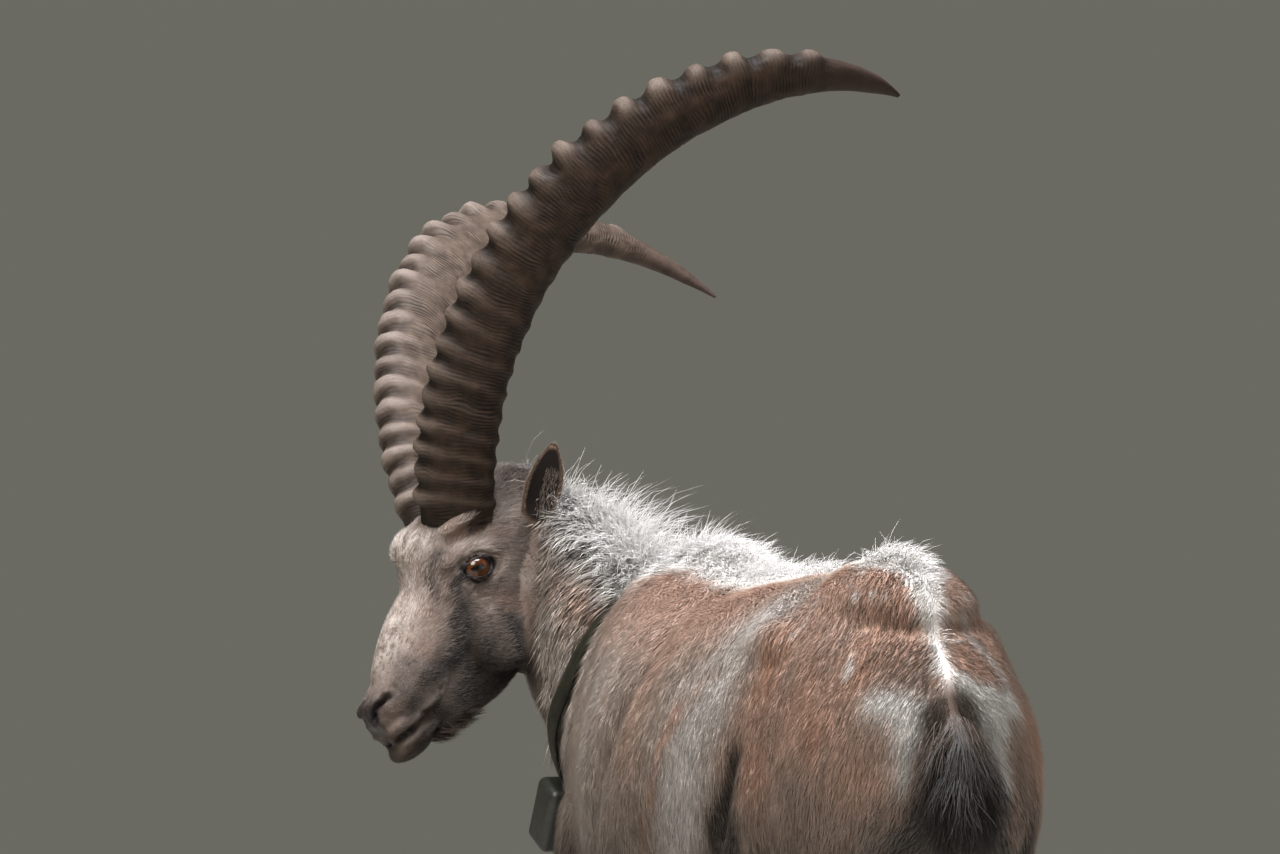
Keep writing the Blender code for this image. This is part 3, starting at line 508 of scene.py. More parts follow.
def flesh_form(name, voxel, relax):
    """One closed surface over all forms of the flesh."""
    trunk = upright_loft("trunk", TRUNK, 40, 0.94)
    skull = upright_loft("skull", SKULL, 36, 0.88, 0.34)
    skull.data.transform(HEAD)
    items = [trunk, skull, limb("neck", NECK, (0, 0, 0), 32), limb("tail", TAIL, TAIL_ROOT, 16)]
    items += mirrored_limb("foreleg", FORELEG, FORE_FOOT) + mirrored_limb("hindleg", HINDLEG, HIND_FOOT)
    items += balls(MUSCLES, Matrix(), True) + balls(MIDDLE_MUSCLES, Matrix(), False)
    items += balls(FACE, HEAD, True) + balls(MIDDLE_FACE, HEAD, False)
    deselect()
    for item in items:
        item.select_set(True)
    bpy.context.view_layer.objects.active = items[0]
    bpy.ops.object.join()
    made = bpy.context.active_object
    made.name = name
    remesh = made.modifiers.new("fuse", "REMESH")
    remesh.mode = "VOXEL"
    remesh.voxel_size = voxel
    smooth = made.modifiers.new("relax", "SMOOTH")
    smooth.factor = 0.5
    smooth.iterations = relax
    apply_modifiers(made)
    return made


def tree_of(item):
    return BVHTree.FromPolygons([v.co for v in item.data.vertices], [p.vertices for p in item.data.polygons])


def divide_where(item, wanted):
    """Splits the faces whose middles are wanted into four."""
    mesh = item.data
    middles = np.empty(len(mesh.polygons) * 3)
    mesh.polygons.foreach_get("center", middles)
    chosen = wanted(middles.reshape(-1, 3))
    choose(item)
    bpy.ops.object.mode_set(mode="EDIT")
    bpy.ops.mesh.select_mode(type="FACE")
    bpy.ops.mesh.select_all(action="DESELECT")
    bpy.ops.object.mode_set(mode="OBJECT")
    mesh.polygons.foreach_set("select", chosen)
    bpy.ops.object.mode_set(mode="EDIT")
    bpy.ops.mesh.subdivide(number_cuts=1)
    bpy.ops.object.mode_set(mode="OBJECT")


# Regions of the body

def head_share(points):
    """1 on the head, 0 on the neck and body."""
    at = moved(points, HEAD_BACK)
    front = ease(-0.115, -0.065, at[:, 0] + 0.45 * at[:, 2])
    return front * ease(-0.185, -0.150, at[:, 2]) * ease(0.082, 0.066, np.abs(at[:, 1]))


NECK_PLACE = np.array((0.405, 0.0, 0.70))
NECK_WAY = np.array((0.809, 0.0, 0.588))


def neck_share(points):
    """1 on the neck and head, 0 behind the shoulders, from the plane where the neck leaves the trunk."""
    return ease(-0.09, 0.06, (points - NECK_PLACE) @ NECK_WAY)


def leg_share(points):
    """1 on the lower legs, 0 on the body."""
    return 1 - ease(0.36, 0.50, points[:, 2])


def tail_share(points):
    at = points - np.array(TAIL_ROOT)
    beside, above = ease(0.018, 0.030, np.abs(at[:, 1])), ease(0.010, 0.03, at[:, 2])
    return ease(0.020, -0.010, at[:, 0]) * (1 - beside) * (1 - above)


def coat_depth(points):
    """How far the skin lies under the tips of the coat."""
    head, neck, leg = head_share(points), neck_share(points), leg_share(points)
    at = moved(points, HEAD_BACK)
    muzzle = ease(0.05, 0.13, at[:, 0])
    depth = 0.0055 + 0.0045 * neck
    depth = depth * (1 - leg) + 0.0030 * leg
    depth = depth * (1 - head) + (0.0028 - 0.0017 * muzzle) * head
    return depth * (1 - 0.7 * tail_share(points))


# Folds and creases of the face in the head's axes, drawn on the left and used on both sides

EYE = np.array(EYE_AT)
# How far from the middle of the face its sides begin
FACE_SIDE = 0.028
LID_HALF = (0.0144, 0.0084)
# The opening of the lids rises towards the muzzle by this much from the head's first axis
LID_TILT = math.radians(20.0)
MOUTH_LINE = ((0.112, 0.032, -0.088), (0.147, 0.030, -0.0935), (0.173, 0.021, -0.094), (0.184, 0.000, -0.094))
NOSTRIL = ((0.161, 0.0290, -0.0500), (0.170, 0.0250, -0.0490), (0.179, 0.0200, -0.0535), (0.184, 0.0140, -0.0610))


def lid_distance(at):
    """How far a point of the face is outside the opening between the lids, as a share of the opening's size."""
    forward, high = at[:, 0] - EYE[0], at[:, 2] - EYE[2]
    along = forward * math.cos(LID_TILT) + high * math.sin(LID_TILT)
    up = high * math.cos(LID_TILT) - forward * math.sin(LID_TILT)
    # The corner towards the muzzle is drawn out to a tear duct
    stretch = np.where(along > 0, 1.12 + 6 * np.clip(along - 0.006, 0, 0.01), 1.0)
    return np.hypot(along / (LID_HALF[0] * stretch), up / (LID_HALF[1] * np.where(along > 0.008, 0.8, 1.0)))


def by_eye(path):
    """A line drawn by the eye in the head's axes, from places along the opening, out from the head and up."""
    c, s = math.cos(LID_TILT), math.sin(LID_TILT)
    return [(EYE[0] + u * c - v * s, out, EYE[2] + u * s + v * c) for u, out, v in path]


def face_relief(at):
    """Height of the face's folds in metres at points in the head's axes, with |y| for both sides."""
    side = at * (1, 0, 1) + np.abs(at) * (0, 1, 0)
    on_side = ease(0.018, 0.034, side[:, 1])
    height = np.zeros(len(at))

    def ridge(path, width, rise, mask=1.0):
        nonlocal height
        height = height + rise * near(side, path, width) * mask

    # Brow over the eye, folds under it and the crease down to the cheek
    ridge(by_eye(((-0.024, 0.055, 0.017), (0.000, 0.058, 0.025), (0.026, 0.050, 0.020))), 0.0075, 0.0046, on_side)
    ridge(by_eye(((-0.019, 0.060, 0.009), (-0.002, 0.062, 0.0155), (0.018, 0.057, 0.011))), 0.0020, -0.0024, on_side)
    ridge(
        by_eye(((-0.022, 0.060, -0.008), (-0.004, 0.062, -0.0165), (0.016, 0.056, -0.015))),
        0.0026, -0.0022, on_side,
    )
    ridge(by_eye(((-0.014, 0.060, -0.018), (0.006, 0.060, -0.020))), 0.0030, 0.0016, on_side)
    ridge(
        by_eye(((-0.026, 0.060, -0.014), (-0.008, 0.060, -0.0235), (0.016, 0.054, -0.024))),
        0.0026, -0.0020, on_side,
    )
    ridge(
        by_eye(((-0.028, 0.058, -0.021), (-0.010, 0.058, -0.030), (0.012, 0.053, -0.032))),
        0.0030, -0.0014, on_side,
    )
    ridge(by_eye(((0.020, 0.052, -0.004), (0.032, 0.048, -0.016), (0.036, 0.044, -0.034))), 0.0050, -0.0032, on_side)
    # Facial crest, hollow under it, hollow in front of the eye and the cheek's rear edge
    ridge(((0.030, 0.046, -0.034), (0.066, 0.040, -0.052), (0.100, 0.034, -0.060)), 0.0085, 0.0022, on_side)
    ridge(((0.040, 0.046, -0.056), (0.076, 0.038, -0.074), (0.106, 0.034, -0.080)), 0.0090, -0.0030, on_side)
    ridge(((0.052, 0.040, -0.010), (0.086, 0.034, -0.026), (0.122, 0.030, -0.042)), 0.0100, -0.0024, on_side)
    ridge(((-0.036, 0.056, -0.030), (-0.042, 0.052, -0.060), (-0.030, 0.046, -0.092)), 0.0100, -0.0022, on_side)
    ridge(((0.006, 0.056, -0.052), (0.014, 0.050, -0.080), (0.012, 0.040, -0.106)), 0.0040, -0.0016, on_side)
    # Corner of the mouth, lips on both sides of it and the chin
    ridge(((0.104, 0.035, -0.080), (0.112, 0.034, -0.090), (0.108, 0.033, -0.102)), 0.0030, -0.0022, on_side)
    ridge(((0.098, 0.036, -0.078), (0.102, 0.035, -0.092)), 0.0050, 0.0022, on_side)
    ridge([(x, y, z + 0.0055) for x, y, z in MOUTH_LINE], 0.0042, 0.0018)
    ridge([(x, y, z - 0.0065) for x, y, z in MOUTH_LINE], 0.0048, 0.0016)
    ridge(MOUTH_LINE, 0.0019, -0.0048)
    # Nostril: a comma with a raised rim, and the groove down the middle of the lip
    ridge([(x + 0.001, y + 0.001, z + 0.0075) for x, y, z in NOSTRIL], 0.0042, 0.0024)
    ridge([(x - 0.004, y, z - 0.0085) for x, y, z in NOSTRIL], 0.0045, 0.0014)
    ridge(((0.188, 0.0045, -0.050), (0.188, 0.0060, -0.068)), 0.0040, 0.0018)
    ridge(((0.188, 0.0, -0.058), (0.190, 0.0, -0.078), (0.186, 0.0, -0.088)), 0.0016, -0.0018)
    ridge(((0.150, 0.032, -0.044), (0.148, 0.032, -0.060), (0.160, 0.028, -0.072)), 0.0040, -0.0018)
    ridge(NOSTRIL, 0.0034, -0.0105)
    return height


def shape_eye_openings(at):
    """Cuts the opening between the lids back behind the eyeball and raises the rims."""
    side = at * (1, 0, 1) + np.abs(at) * (0, 1, 0)
    reach = lid_distance(side)
    beside = side[:, 1] > FACE_SIDE
    flat = np.hypot(side[:, 0] - EYE[0], side[:, 2] - EYE[2])
    ball = EYE[1] + np.sqrt(np.maximum(EYE_RADIUS**2 - flat**2, 0))
    result = side.copy()
    # Rims hug the eyeball, a little outside it
    rim = np.exp(-(((reach - 1.24) / 0.26) ** 2)) * beside
    lid_y = ball + 0.0026
    result[:, 1] = np.where(beside, result[:, 1] * (1 - rim) + lid_y * rim, result[:, 1])
    crease = np.exp(-(((reach - 1.85) / 0.18) ** 2)) * beside
    result[:, 1] -= 0.0016 * crease
    inside = (1 - ease(0.92, 1.04, reach)) * beside
    result[:, 1] = result[:, 1] * (1 - inside) + (EYE[1] + 0.004) * inside
    result[:, 1] *= np.where(at[:, 1] < 0, -1, 1)
    return result


# The way hair flows on the neck and on the flanks
NECK_FLOW = (-0.02, 0.42, -0.90)
FLANK_FLOW = (-0.45, 0.25, -0.80)


def trunk_relief(points):
    """Folds of the coat and muscles on the body, as height in metres."""
    sided = points * (1, 0, 1) + np.abs(points) * (0, 1, 0)
    body = (1 - head_share(points)) * (1 - leg_share(points))
    left = (points[:, 1] > 0) * 1.0
    height = 0.0016 * cloud(points, 0.060, 1) + 0.0008 * streaks(sided, FLANK_FLOW, 0.060, 0.018, 2)
    for path, width, rise in (
        (
            ((0.049, 0.090, 0.855), (-0.008, 0.143, 0.807), (0.000, 0.172, 0.760), (0.020, 0.190, 0.700)),
            0.014, -0.0055,
        ),
        (((0.030, 0.194, 0.683), (0.066, 0.196, 0.620), (0.100, 0.190, 0.540)), 0.016, -0.0045),
        (((0.100, 0.140, 0.840), (0.075, 0.180, 0.760), (0.095, 0.198, 0.660)), 0.024, 0.0040),
        (((-0.100, 0.130, 0.830), (-0.085, 0.170, 0.740), (-0.045, 0.190, 0.640)), 0.030, 0.0030),
        (((0.180, 0.130, 0.840), (0.200, 0.168, 0.740), (0.215, 0.165, 0.600)), 0.022, -0.0060),
        (
            ((-0.285, 0.140, 0.700), (-0.255, 0.150, 0.650), (-0.215, 0.158, 0.590), (-0.200, 0.150, 0.520)),
            0.014, -0.0075,
        ),
        (((-0.320, 0.138, 0.640), (-0.300, 0.140, 0.560), (-0.290, 0.130, 0.500)), 0.030, 0.0045),
        (((-0.180, 0.090, 0.868), (-0.205, 0.130, 0.830), (-0.215, 0.150, 0.780)), 0.018, -0.0035),
        (((-0.440, 0.110, 0.780), (-0.470, 0.100, 0.700), (-0.480, 0.090, 0.600)), 0.018, -0.0030),
        (((-0.500, 0.034, 0.760), (-0.515, 0.036, 0.690), (-0.500, 0.036, 0.600)), 0.014, -0.0070),
    ):
        height += rise * near(sided, path, width) * body
    height += 0.0022 * left * near(points, ((-0.130, 0.170, 0.740), (-0.085, 0.186, 0.650)), 0.010)
    # Streaky folds of the neck, running from the nape down round to the throat
    neck = neck_share(points) * (1 - head_share(points))
    folds = streaks(points, NECK_FLOW, 0.110, 0.013, 5) + 0.5 * streaks(points, NECK_FLOW, 0.060, 0.006, 6)
    height += neck * (0.0034 * folds + 0.0022 * streaks(points, NECK_FLOW, 0.140, 0.030, 7))
    return height


def shape_skin():
    """The skin's whole shape as one closed mesh, with the un-inset form for other pieces to lie on."""
    fine = flesh_form("head_form", HEAD_VOXEL, 3)
    skin = flesh_form("skin", BODY_VOXEL, 5)

    def head_faces(middles):
        return head_share(middles) > 0.4

    def detail_faces(middles):
        at = moved(middles, HEAD_BACK)
        side = np.abs(at[:, 1])
        eye = np.hypot(at[:, 0] - EYE[0], at[:, 2] - EYE[2]) < 0.034
        nose = at[:, 0] > 0.095
        return (eye & (side > 0.025)) | (nose & (head_share(middles) > 0.9))

    divide_where(skin, head_faces)
    divide_where(skin, detail_faces)
    points = coordinates(skin.data)
    share = head_share(points)
    tree = tree_of(fine)
    found = points.copy()
    for i in np.flatnonzero(share > 0.05):
        found[i] = tree.find_nearest(points[i])[0]
    points += (found - points) * np.minimum(share * 1.5, 1)[:, None]
    bpy.data.objects.remove(fine)
    set_coordinates(skin.data, points)
    form = skin.copy()
    form.data = skin.data.copy()
    form.name = "coat_surface"
    return skin, form


# Markings and painted shade: how much of each colour the coat shows at a place, painted shade and painted highlight
# among them

# White crest: place along the spine and half width of the white
WHITE_BACK = (
    (0.640, 0.026), (0.600, 0.036), (0.520, 0.044), (0.400, 0.048), (0.240, 0.048), (0.120, 0.056),
    (-0.060, 0.058), (-0.130, 0.040), (-0.175, 0.005), (-0.270, 0.004), (-0.300, 0.022),
    (-0.360, 0.032), (-0.430, 0.024), (-0.465, 0.009), (-0.500, 0.004), (-0.560, 0.0),
)


def crest_side(x):
    """How far the middle of the crest lies to the left: the neck bends that way in front of the withers."""
    places = [centre[0] for centre, _, _ in NECK]
    return np.interp(x, places, [centre[1] for centre, _, _ in NECK])


def shaken(points, size, by, seed):
    """Points moved about by noise, so that the edges of markings look grown."""
    return points + by * np.stack([cloud(points, size, seed + n) for n in range(3)], 1)


def body_markings_and_shade(points):
    """Cream, rufous, grey and dark on the trunk, neck, legs and tail; the dark also holds painted shade in folds,
    under the tail and low on the body, and the grey and cream a painted highlight on the barrel.
    """
    at = shaken(points, 0.030, 0.010, 11)
    sided = at * (1, 0, 1) + np.abs(at) * (0, 1, 0)
    left = at[:, 1] > 0
    x, y, z = at.T
    fine, lumps = cloud(points, 0.007, 21), cloud(points, 0.05, 22)
    neck, leg = neck_share(points), leg_share(points)
    table = np.array(WHITE_BACK)[::-1]
    half = np.interp(x, table[:, 0], table[:, 1])
    off = np.abs(y - crest_side(x))
    cream = (1 - ease(0.75, 1.25, off / np.maximum(half, 0.004))) * ease(0.74, 0.80, z)
    for path, width, much in (
        (((-0.517, 0.072, 0.757), (-0.535, 0.048, 0.755), (-0.546, 0.030, 0.750)), 0.017, 1.7),
        (((-0.549, 0.040, 0.735), (-0.551, 0.045, 0.705), (-0.546, 0.056, 0.672)), 0.011, 1.6),
        (((-0.459, 0.083, 0.799), (-0.468, 0.080, 0.790)), 0.0065, 0.9),
        (
            ((-0.478, 0.004, 0.866), (-0.494, 0.003, 0.835), (-0.512, 0.000, 0.815), (-0.530, 0.001, 0.790)),
            0.0095, 1.4,
        ),
    ):
        cream += much * near(sided, path, width)
    cream += 1.6 * near(at, ((-0.540, -0.018, 0.770), (-0.543, -0.036, 0.755), (-0.543, -0.052, 0.734)), 0.013)
    # A paler stripe along the grey band on the barrel: paler hair, made paler still as a painted highlight along the
    # barrel's rounded edge
    cream += 0.22 * near(sided, ((-0.225, 0.125, 0.815), (-0.180, 0.160, 0.735), (-0.150, 0.170, 0.660)), 0.040)
    cream += 0.75 * near(at, ((-0.475, -0.040, 0.835), (-0.500, -0.058, 0.795), (-0.520, -0.060, 0.755)), 0.009)
    flecks = ease(0.42, 0.60, cloud(points, 0.010, 23)) * ease(0.02, 0.5, cloud(points, 0.045, 24))
    cream += 0.75 * flecks * ease(-0.28, -0.40, x) * ease(0.74, 0.80, z)
    belly = (1 - ease(0.47, 0.53, z)) * (1 - ease(0.06, 0.115, np.abs(y))) * ease(-0.42, -0.34, x) * (1 - leg)
    cream += 0.9 * belly * (1 - ease(0.30, 0.42, x))
    rump = ease(-0.215, -0.300, x + 0.22 * (z - 0.70))
    high = ease(0.54, 0.74, z)
    hairs = streaks(sided, FLANK_FLOW, 0.030, 0.005, 25)
    rufous = rump * (0.12 + 0.70 * high) * (0.86 + 0.45 * lumps + 0.25 * hairs)
    rufous += 0.55 * ease(0.77, 0.84, z) * ease(-0.26, -0.10, x) * (1 - ease(0.20, 0.42, x))
    line = ((-0.270, 0.130, 0.822), (-0.197, 0.143, 0.780), (-0.132, 0.166, 0.738), (-0.079, 0.184, 0.650))
    rufous += 0.75 * near(sided, line + ((-0.062, 0.181, 0.602), (-0.060, 0.165, 0.520)), 0.0080)
    rufous += 0.40 * near(sided, ((-0.030, 0.150, 0.800), (-0.030, 0.180, 0.700)), 0.040)
    rufous += 0.85 * near(at, ((0.475, 0.080, 0.868), (0.410, 0.082, 0.850)), 0.030)
    # The grey band behind the rufous line: paler grey hair, partly a painted highlight where the rib barrel turns
    # towards the light
    band = ((-0.240, 0.105, 0.840), (-0.212, 0.146, 0.785), (-0.180, 0.160, 0.735), (-0.150, 0.170, 0.660))
    grey = 1.25 * near(sided, band + ((-0.128, 0.172, 0.580), (-0.120, 0.160, 0.490)), 0.050)
    shoulder = ((0.180, 0.150, 0.800), (0.120, 0.185, 0.700), (0.140, 0.190, 0.600))
    grey += 0.30 * neck + 0.45 * near(sided, shoulder, 0.070)
    # Painted shade: dark laid into the flank fold, down its lower end and into the groove behind the shoulder, on the
    # lines of the relief's folds
    dark = 0.85 * near(sided, ((-0.285, 0.145, 0.700), (-0.245, 0.150, 0.640), (-0.200, 0.156, 0.560)), 0.018)
    dark += 0.75 * near(sided, ((-0.235, 0.150, 0.610), (-0.200, 0.150, 0.500)), 0.034)
    dark += 0.40 * near(sided, ((-0.010, 0.145, 0.806), (0.000, 0.172, 0.760), (0.015, 0.190, 0.700)), 0.012)
    dark += 0.70 * near(at, ((-0.496, 0.018, 0.838), (-0.514, 0.016, 0.812), (-0.534, 0.018, 0.782)), 0.008)
    dark += 0.30 * near(at, ((-0.440, 0.040, 0.862), (-0.480, 0.040, 0.830), (-0.505, 0.040, 0.790)), 0.030)
    # Painted shadow under the tail and down between the thighs
    dark += 1.1 * near(sided, ((-0.548, 0.012, 0.748), (-0.535, 0.014, 0.690), (-0.480, 0.020, 0.590)), 0.022)
    dark += 0.70 * near(sided, ((-0.545, 0.030, 0.640), (-0.500, 0.040, 0.560)), 0.030)
    dark += 0.55 * near(sided, ((-0.540, 0.105, 0.700), (-0.470, 0.120, 0.600)), 0.030) * ~left
    # Painted shade: darker low on the chest, low on the barrel and towards the bottom of the body and rump, less so
    # on the grey band
    dark += 0.55 * ease(0.66, 0.50, z) * ease(0.02, 0.16, x) * (1 - leg) * (1 - belly)
    dark += 0.68 * ease(0.76, 0.52, z) * (1 - leg) * (1 - belly) * (1 - 0.6 * np.clip(grey, 0, 1))
    dark += 0.5 * near(sided, ((-0.05, 0.180, 0.505), (0.13, 0.185, 0.500)), 0.035)
    dark += 0.22 * rump * ease(0.70, 0.52, z) * (1 + hairs)
    # On the neck: dark in the troughs of the streaks is painted shade in the gaps between locks, and the dark growing
    # lower down the neck is painted shade; the pale on the crests of the streaks is pale hair tips
    folds = streaks(points, NECK_FLOW, 0.090, 0.0085, 26)
    dark += neck * (0.75 * ease(0.05, 0.75, -folds) + 0.12 + 0.25 * ease(0.80, 0.66, z))
    cream += neck * 0.34 * ease(0.15, 0.80, folds)
    front = ease(-0.02, 0.02, x - np.where(x > 0, FORE_FOOT[0], HIND_FOOT[0]))
    dark += leg * (0.45 + 0.40 * front)
    cream += leg * 0.40 * (1 - front) * ease(0.30, 0.20, z)
    dark += 0.18 * np.clip(-lumps - 0.1, 0, 1) + 0.10 * np.clip(-fine, 0, 1)
    return np.stack([cream, rufous, grey, dark], 1)


def head_markings_and_shade(points):
    """Cream, rufous, grey and dark on the head, from places in its own axes; the dark also holds painted shade low on
    the head, and the cream a painted highlight above the mouth corner.
    """
    plain = moved(points, HEAD_BACK)
    at = shaken(plain, 0.014, 0.0045, 31)
    side = at * (1, 0, 1) + np.abs(at) * (0, 1, 0)
    x, y, z = side.T
    fine = cloud(plain, 0.0024, 41) + 0.4 * cloud(plain, 0.007, 43)
    lumps = cloud(plain, 0.018, 42)
    flank = ease(0.014, 0.030, y)
    speckled = np.clip(0.50 + 0.95 * fine, 0, 1.1)
    bridge = ((0.030, 0.0, 0.066), (0.060, 0.010, 0.040), (0.090, 0.014, 0.012), (0.128, 0.010, -0.016))
    cream = 0.95 * near(side, bridge, 0.021) * speckled
    cream += 0.80 * near(side, ((0.034, 0.012, 0.062), (0.020, 0.030, 0.056)), 0.016) * speckled
    cream += 0.45 * near(side, ((0.070, 0.030, 0.006), (0.100, 0.026, -0.020)), 0.018) * speckled
    lid = by_eye(((-0.018, 0.060, 0.0145), (0.000, 0.062, 0.0195), (0.016, 0.056, 0.015)))
    cream += 0.90 * near(side, lid, 0.0036)
    cream += 0.50 * near(side, by_eye(((-0.018, 0.058, 0.026), (0.012, 0.052, 0.030))), 0.0090)
    cream += 0.55 * near(side, by_eye(((-0.016, 0.062, -0.019), (0.010, 0.058, -0.0205))), 0.0050)
    cream += 0.70 * near(side, by_eye(((0.008, 0.056, -0.030), (0.002, 0.056, -0.044))), 0.0080)
    cream += 0.35 * near(side, ((-0.030, 0.060, -0.020), (-0.040, 0.056, -0.050), (-0.030, 0.050, -0.080)), 0.014)
    # Pale hair above the mouth corner, brightened as a painted highlight on the lip's bulge
    cream += 0.80 * near(side, ((0.092, 0.036, -0.072), (0.108, 0.036, -0.080)), 0.0075)
    cream += 0.45 * near(side, ((0.150, 0.030, -0.086), (0.124, 0.034, -0.082)), 0.0050)
    cream += 0.95 * near(side, ((-0.112, 0.060, 0.006), (-0.120, 0.056, -0.020)), 0.020)
    cream += 0.50 * near(side, ((-0.060, 0.060, 0.036), (-0.080, 0.062, 0.020)), 0.012)
    rufous = 0.60 * near(side, by_eye(((-0.020, 0.058, 0.034), (0.010, 0.052, 0.036))), 0.012)
    rufous += 0.45 * near(side, ((-0.010, 0.058, -0.050), (0.010, 0.056, -0.040)), 0.018) * flank
    rufous += 0.45 * near(side, ((0.060, 0.020, 0.000), (0.100, 0.024, -0.030)), 0.016)
    grey = 0.30 + 0.3 * lumps + 0.6 * near(side, ((0.158, 0.010, -0.052), (0.150, 0.020, -0.066)), 0.014)
    dark = 0.85 * near(side, ((0.030, 0.050, 0.000), (0.040, 0.048, -0.020), (0.052, 0.044, -0.040)), 0.0085)
    dark += 0.65 * near(side, ((0.052, 0.044, -0.036), (0.076, 0.038, -0.054), (0.098, 0.034, -0.060)), 0.013)
    dark += 0.55 * near(side, ((0.024, 0.046, 0.036), (0.044, 0.036, 0.024), (0.054, 0.036, 0.004)), 0.0075)
    dark += 0.70 * near(side, ((0.056, 0.040, -0.080), (0.088, 0.036, -0.094), (0.070, 0.030, -0.112)), 0.017)
    dark += 0.60 * near(side, ((0.118, 0.032, -0.060), (0.146, 0.030, -0.072)), 0.013)
    dark += 0.40 * near(side, ((0.122, 0.028, -0.036), (0.150, 0.026, -0.050)), 0.012)
    dark += 0.80 * near(side, ((0.007, 0.056, -0.060), (0.015, 0.050, -0.097), (0.010, 0.040, -0.112)), 0.0055)
    dark += 0.90 * near(side, ((0.178, 0.012, -0.050), (0.184, 0.008, -0.066)), 0.013)
    dark += 0.95 * near(side, ((0.120, 0.026, -0.106), (0.150, 0.016, -0.112), (0.178, 0.0, -0.106)), 0.013)
    dark += 0.80 * near(side, MOUTH_LINE, 0.0050)
    poll = ((-0.030, 0.060, 0.034), (-0.062, 0.056, 0.052), (-0.100, 0.040, 0.064))
    dark += 0.60 * near(side, poll, 0.018) * (1 + fine)
    dark += 0.75 * near(side, ((-0.080, 0.046, -0.080), (-0.040, 0.044, -0.104), (0.040, 0.030, -0.122)), 0.020)
    dark += 0.70 * near(side, by_eye(((0.016, 0.054, -0.006), (0.026, 0.050, -0.014))), 0.0045)
    dark += 0.35 * near(side, ((0.030, 0.046, -0.060), (0.060, 0.042, -0.070)), 0.022)
    dark += 0.45 * np.clip(fine, 0, 1) * near(side, ((0.05, 0.035, 0.01), (0.11, 0.030, -0.04)), 0.030)
    # Painted shade: darker towards the bottom of the head; the smaller term, darker towards the muzzle, is the
    # muzzle's own darker hair
    dark += 0.30 * ease(-0.020, -0.110, z + 0.25 * (x - 0.05)) + 0.12 * ease(0.06, 0.15, x)
    dark = 1.25 * dark + 0.22 * np.clip(-lumps - 0.1, 0, 1) + 0.25 * np.clip(-fine - 0.2, 0, 1)
    return np.stack([0.85 * cream, rufous, grey, dark], 1)


def markings_and_shade(points):
    head = ease(0.15, 0.75, head_share(points))[:, None]
    return np.clip(body_markings_and_shade(points) * (1 - head) + head_markings_and_shade(points) * head, 0, 1)


# Coat

TUFT_ROOT = 0.0012
PATCH = 0.003


def strand_mesh(name, spine, sides, ups, widths, flat, colours, tones, places):
    """Closed three-sided strands as one mesh.

    spine holds each strand's centres from root to tip; the last one is its point.
    """
    count, rings = spine.shape[0], spine.shape[1] - 1
    body = np.empty((count, rings * 3 + 1, 3))
    for k in range(rings):
        half = sides[:, None] * widths[:, k, None, None] / 2
        body[:, k * 3 : k * 3 + 1] = spine[:, k, None] - half
        body[:, k * 3 + 1 : k * 3 + 2] = spine[:, k, None] + half
        body[:, k * 3 + 2] = spine[:, k] + ups * (widths[:, k] * flat)[:, None]
    body[:, -1] = spine[:, -1]
    pattern = [(0, 2, 1)]
    for k in range(rings - 1):
        for j in range(3):
            a, b = k * 3 + j, k * 3 + (j + 1) % 3
            pattern += [(a, b, b + 3), (a, b + 3, a + 3)]
    last = (rings - 1) * 3
    pattern += [(last + j, last + (j + 1) % 3, rings * 3) for j in range(3)]
    pattern = np.array(pattern)
    a, b, c = (body[0][pattern[:, n]] - body[0].mean(0) for n in range(3))
    if np.einsum("ij,ij->", a, np.cross(b, c)) < 0:
        pattern = pattern[:, ::-1]
    per = body.shape[1]
    faces = (pattern[None] + (np.arange(count) * per)[:, None, None]).reshape(-1)
    mesh = bpy.data.meshes.new(name)
    mesh.vertices.add(count * per)
    mesh.loops.add(len(faces))
    mesh.polygons.add(len(faces) // 3)
    mesh.vertices.foreach_set("co", body.astype(np.float32).ravel())
    mesh.loops.foreach_set("vertex_index", faces.astype(np.int32))
    mesh.polygons.foreach_set("loop_start", np.arange(0, len(faces), 3, dtype=np.int32))
    mesh.update(calc_edges=True)
    share = np.append(np.repeat(np.arange(rings) / rings, 3), 1.0)
    paint(mesh, "markings_and_shade", np.repeat(colours, per, axis=0))
    paint(mesh, "tone", np.repeat(tones, per))
    paint(mesh, "along", np.tile(share, count))
    across = np.append(np.tile((0.0, 1.0, 0.5), rings), 0.5)
    local = np.stack([across, share], 1) * PATCH
    spread = (places[:, None] + local[None]).reshape(-1, 2)
    layer = mesh.uv_layers.new(name="OFBake")
    layer.uv.foreach_set("vector", spread[faces].astype(np.float32).ravel())
    item = bpy.data.objects.new(name, mesh)
    bpy.context.scene.collection.objects.link(item)
    return item


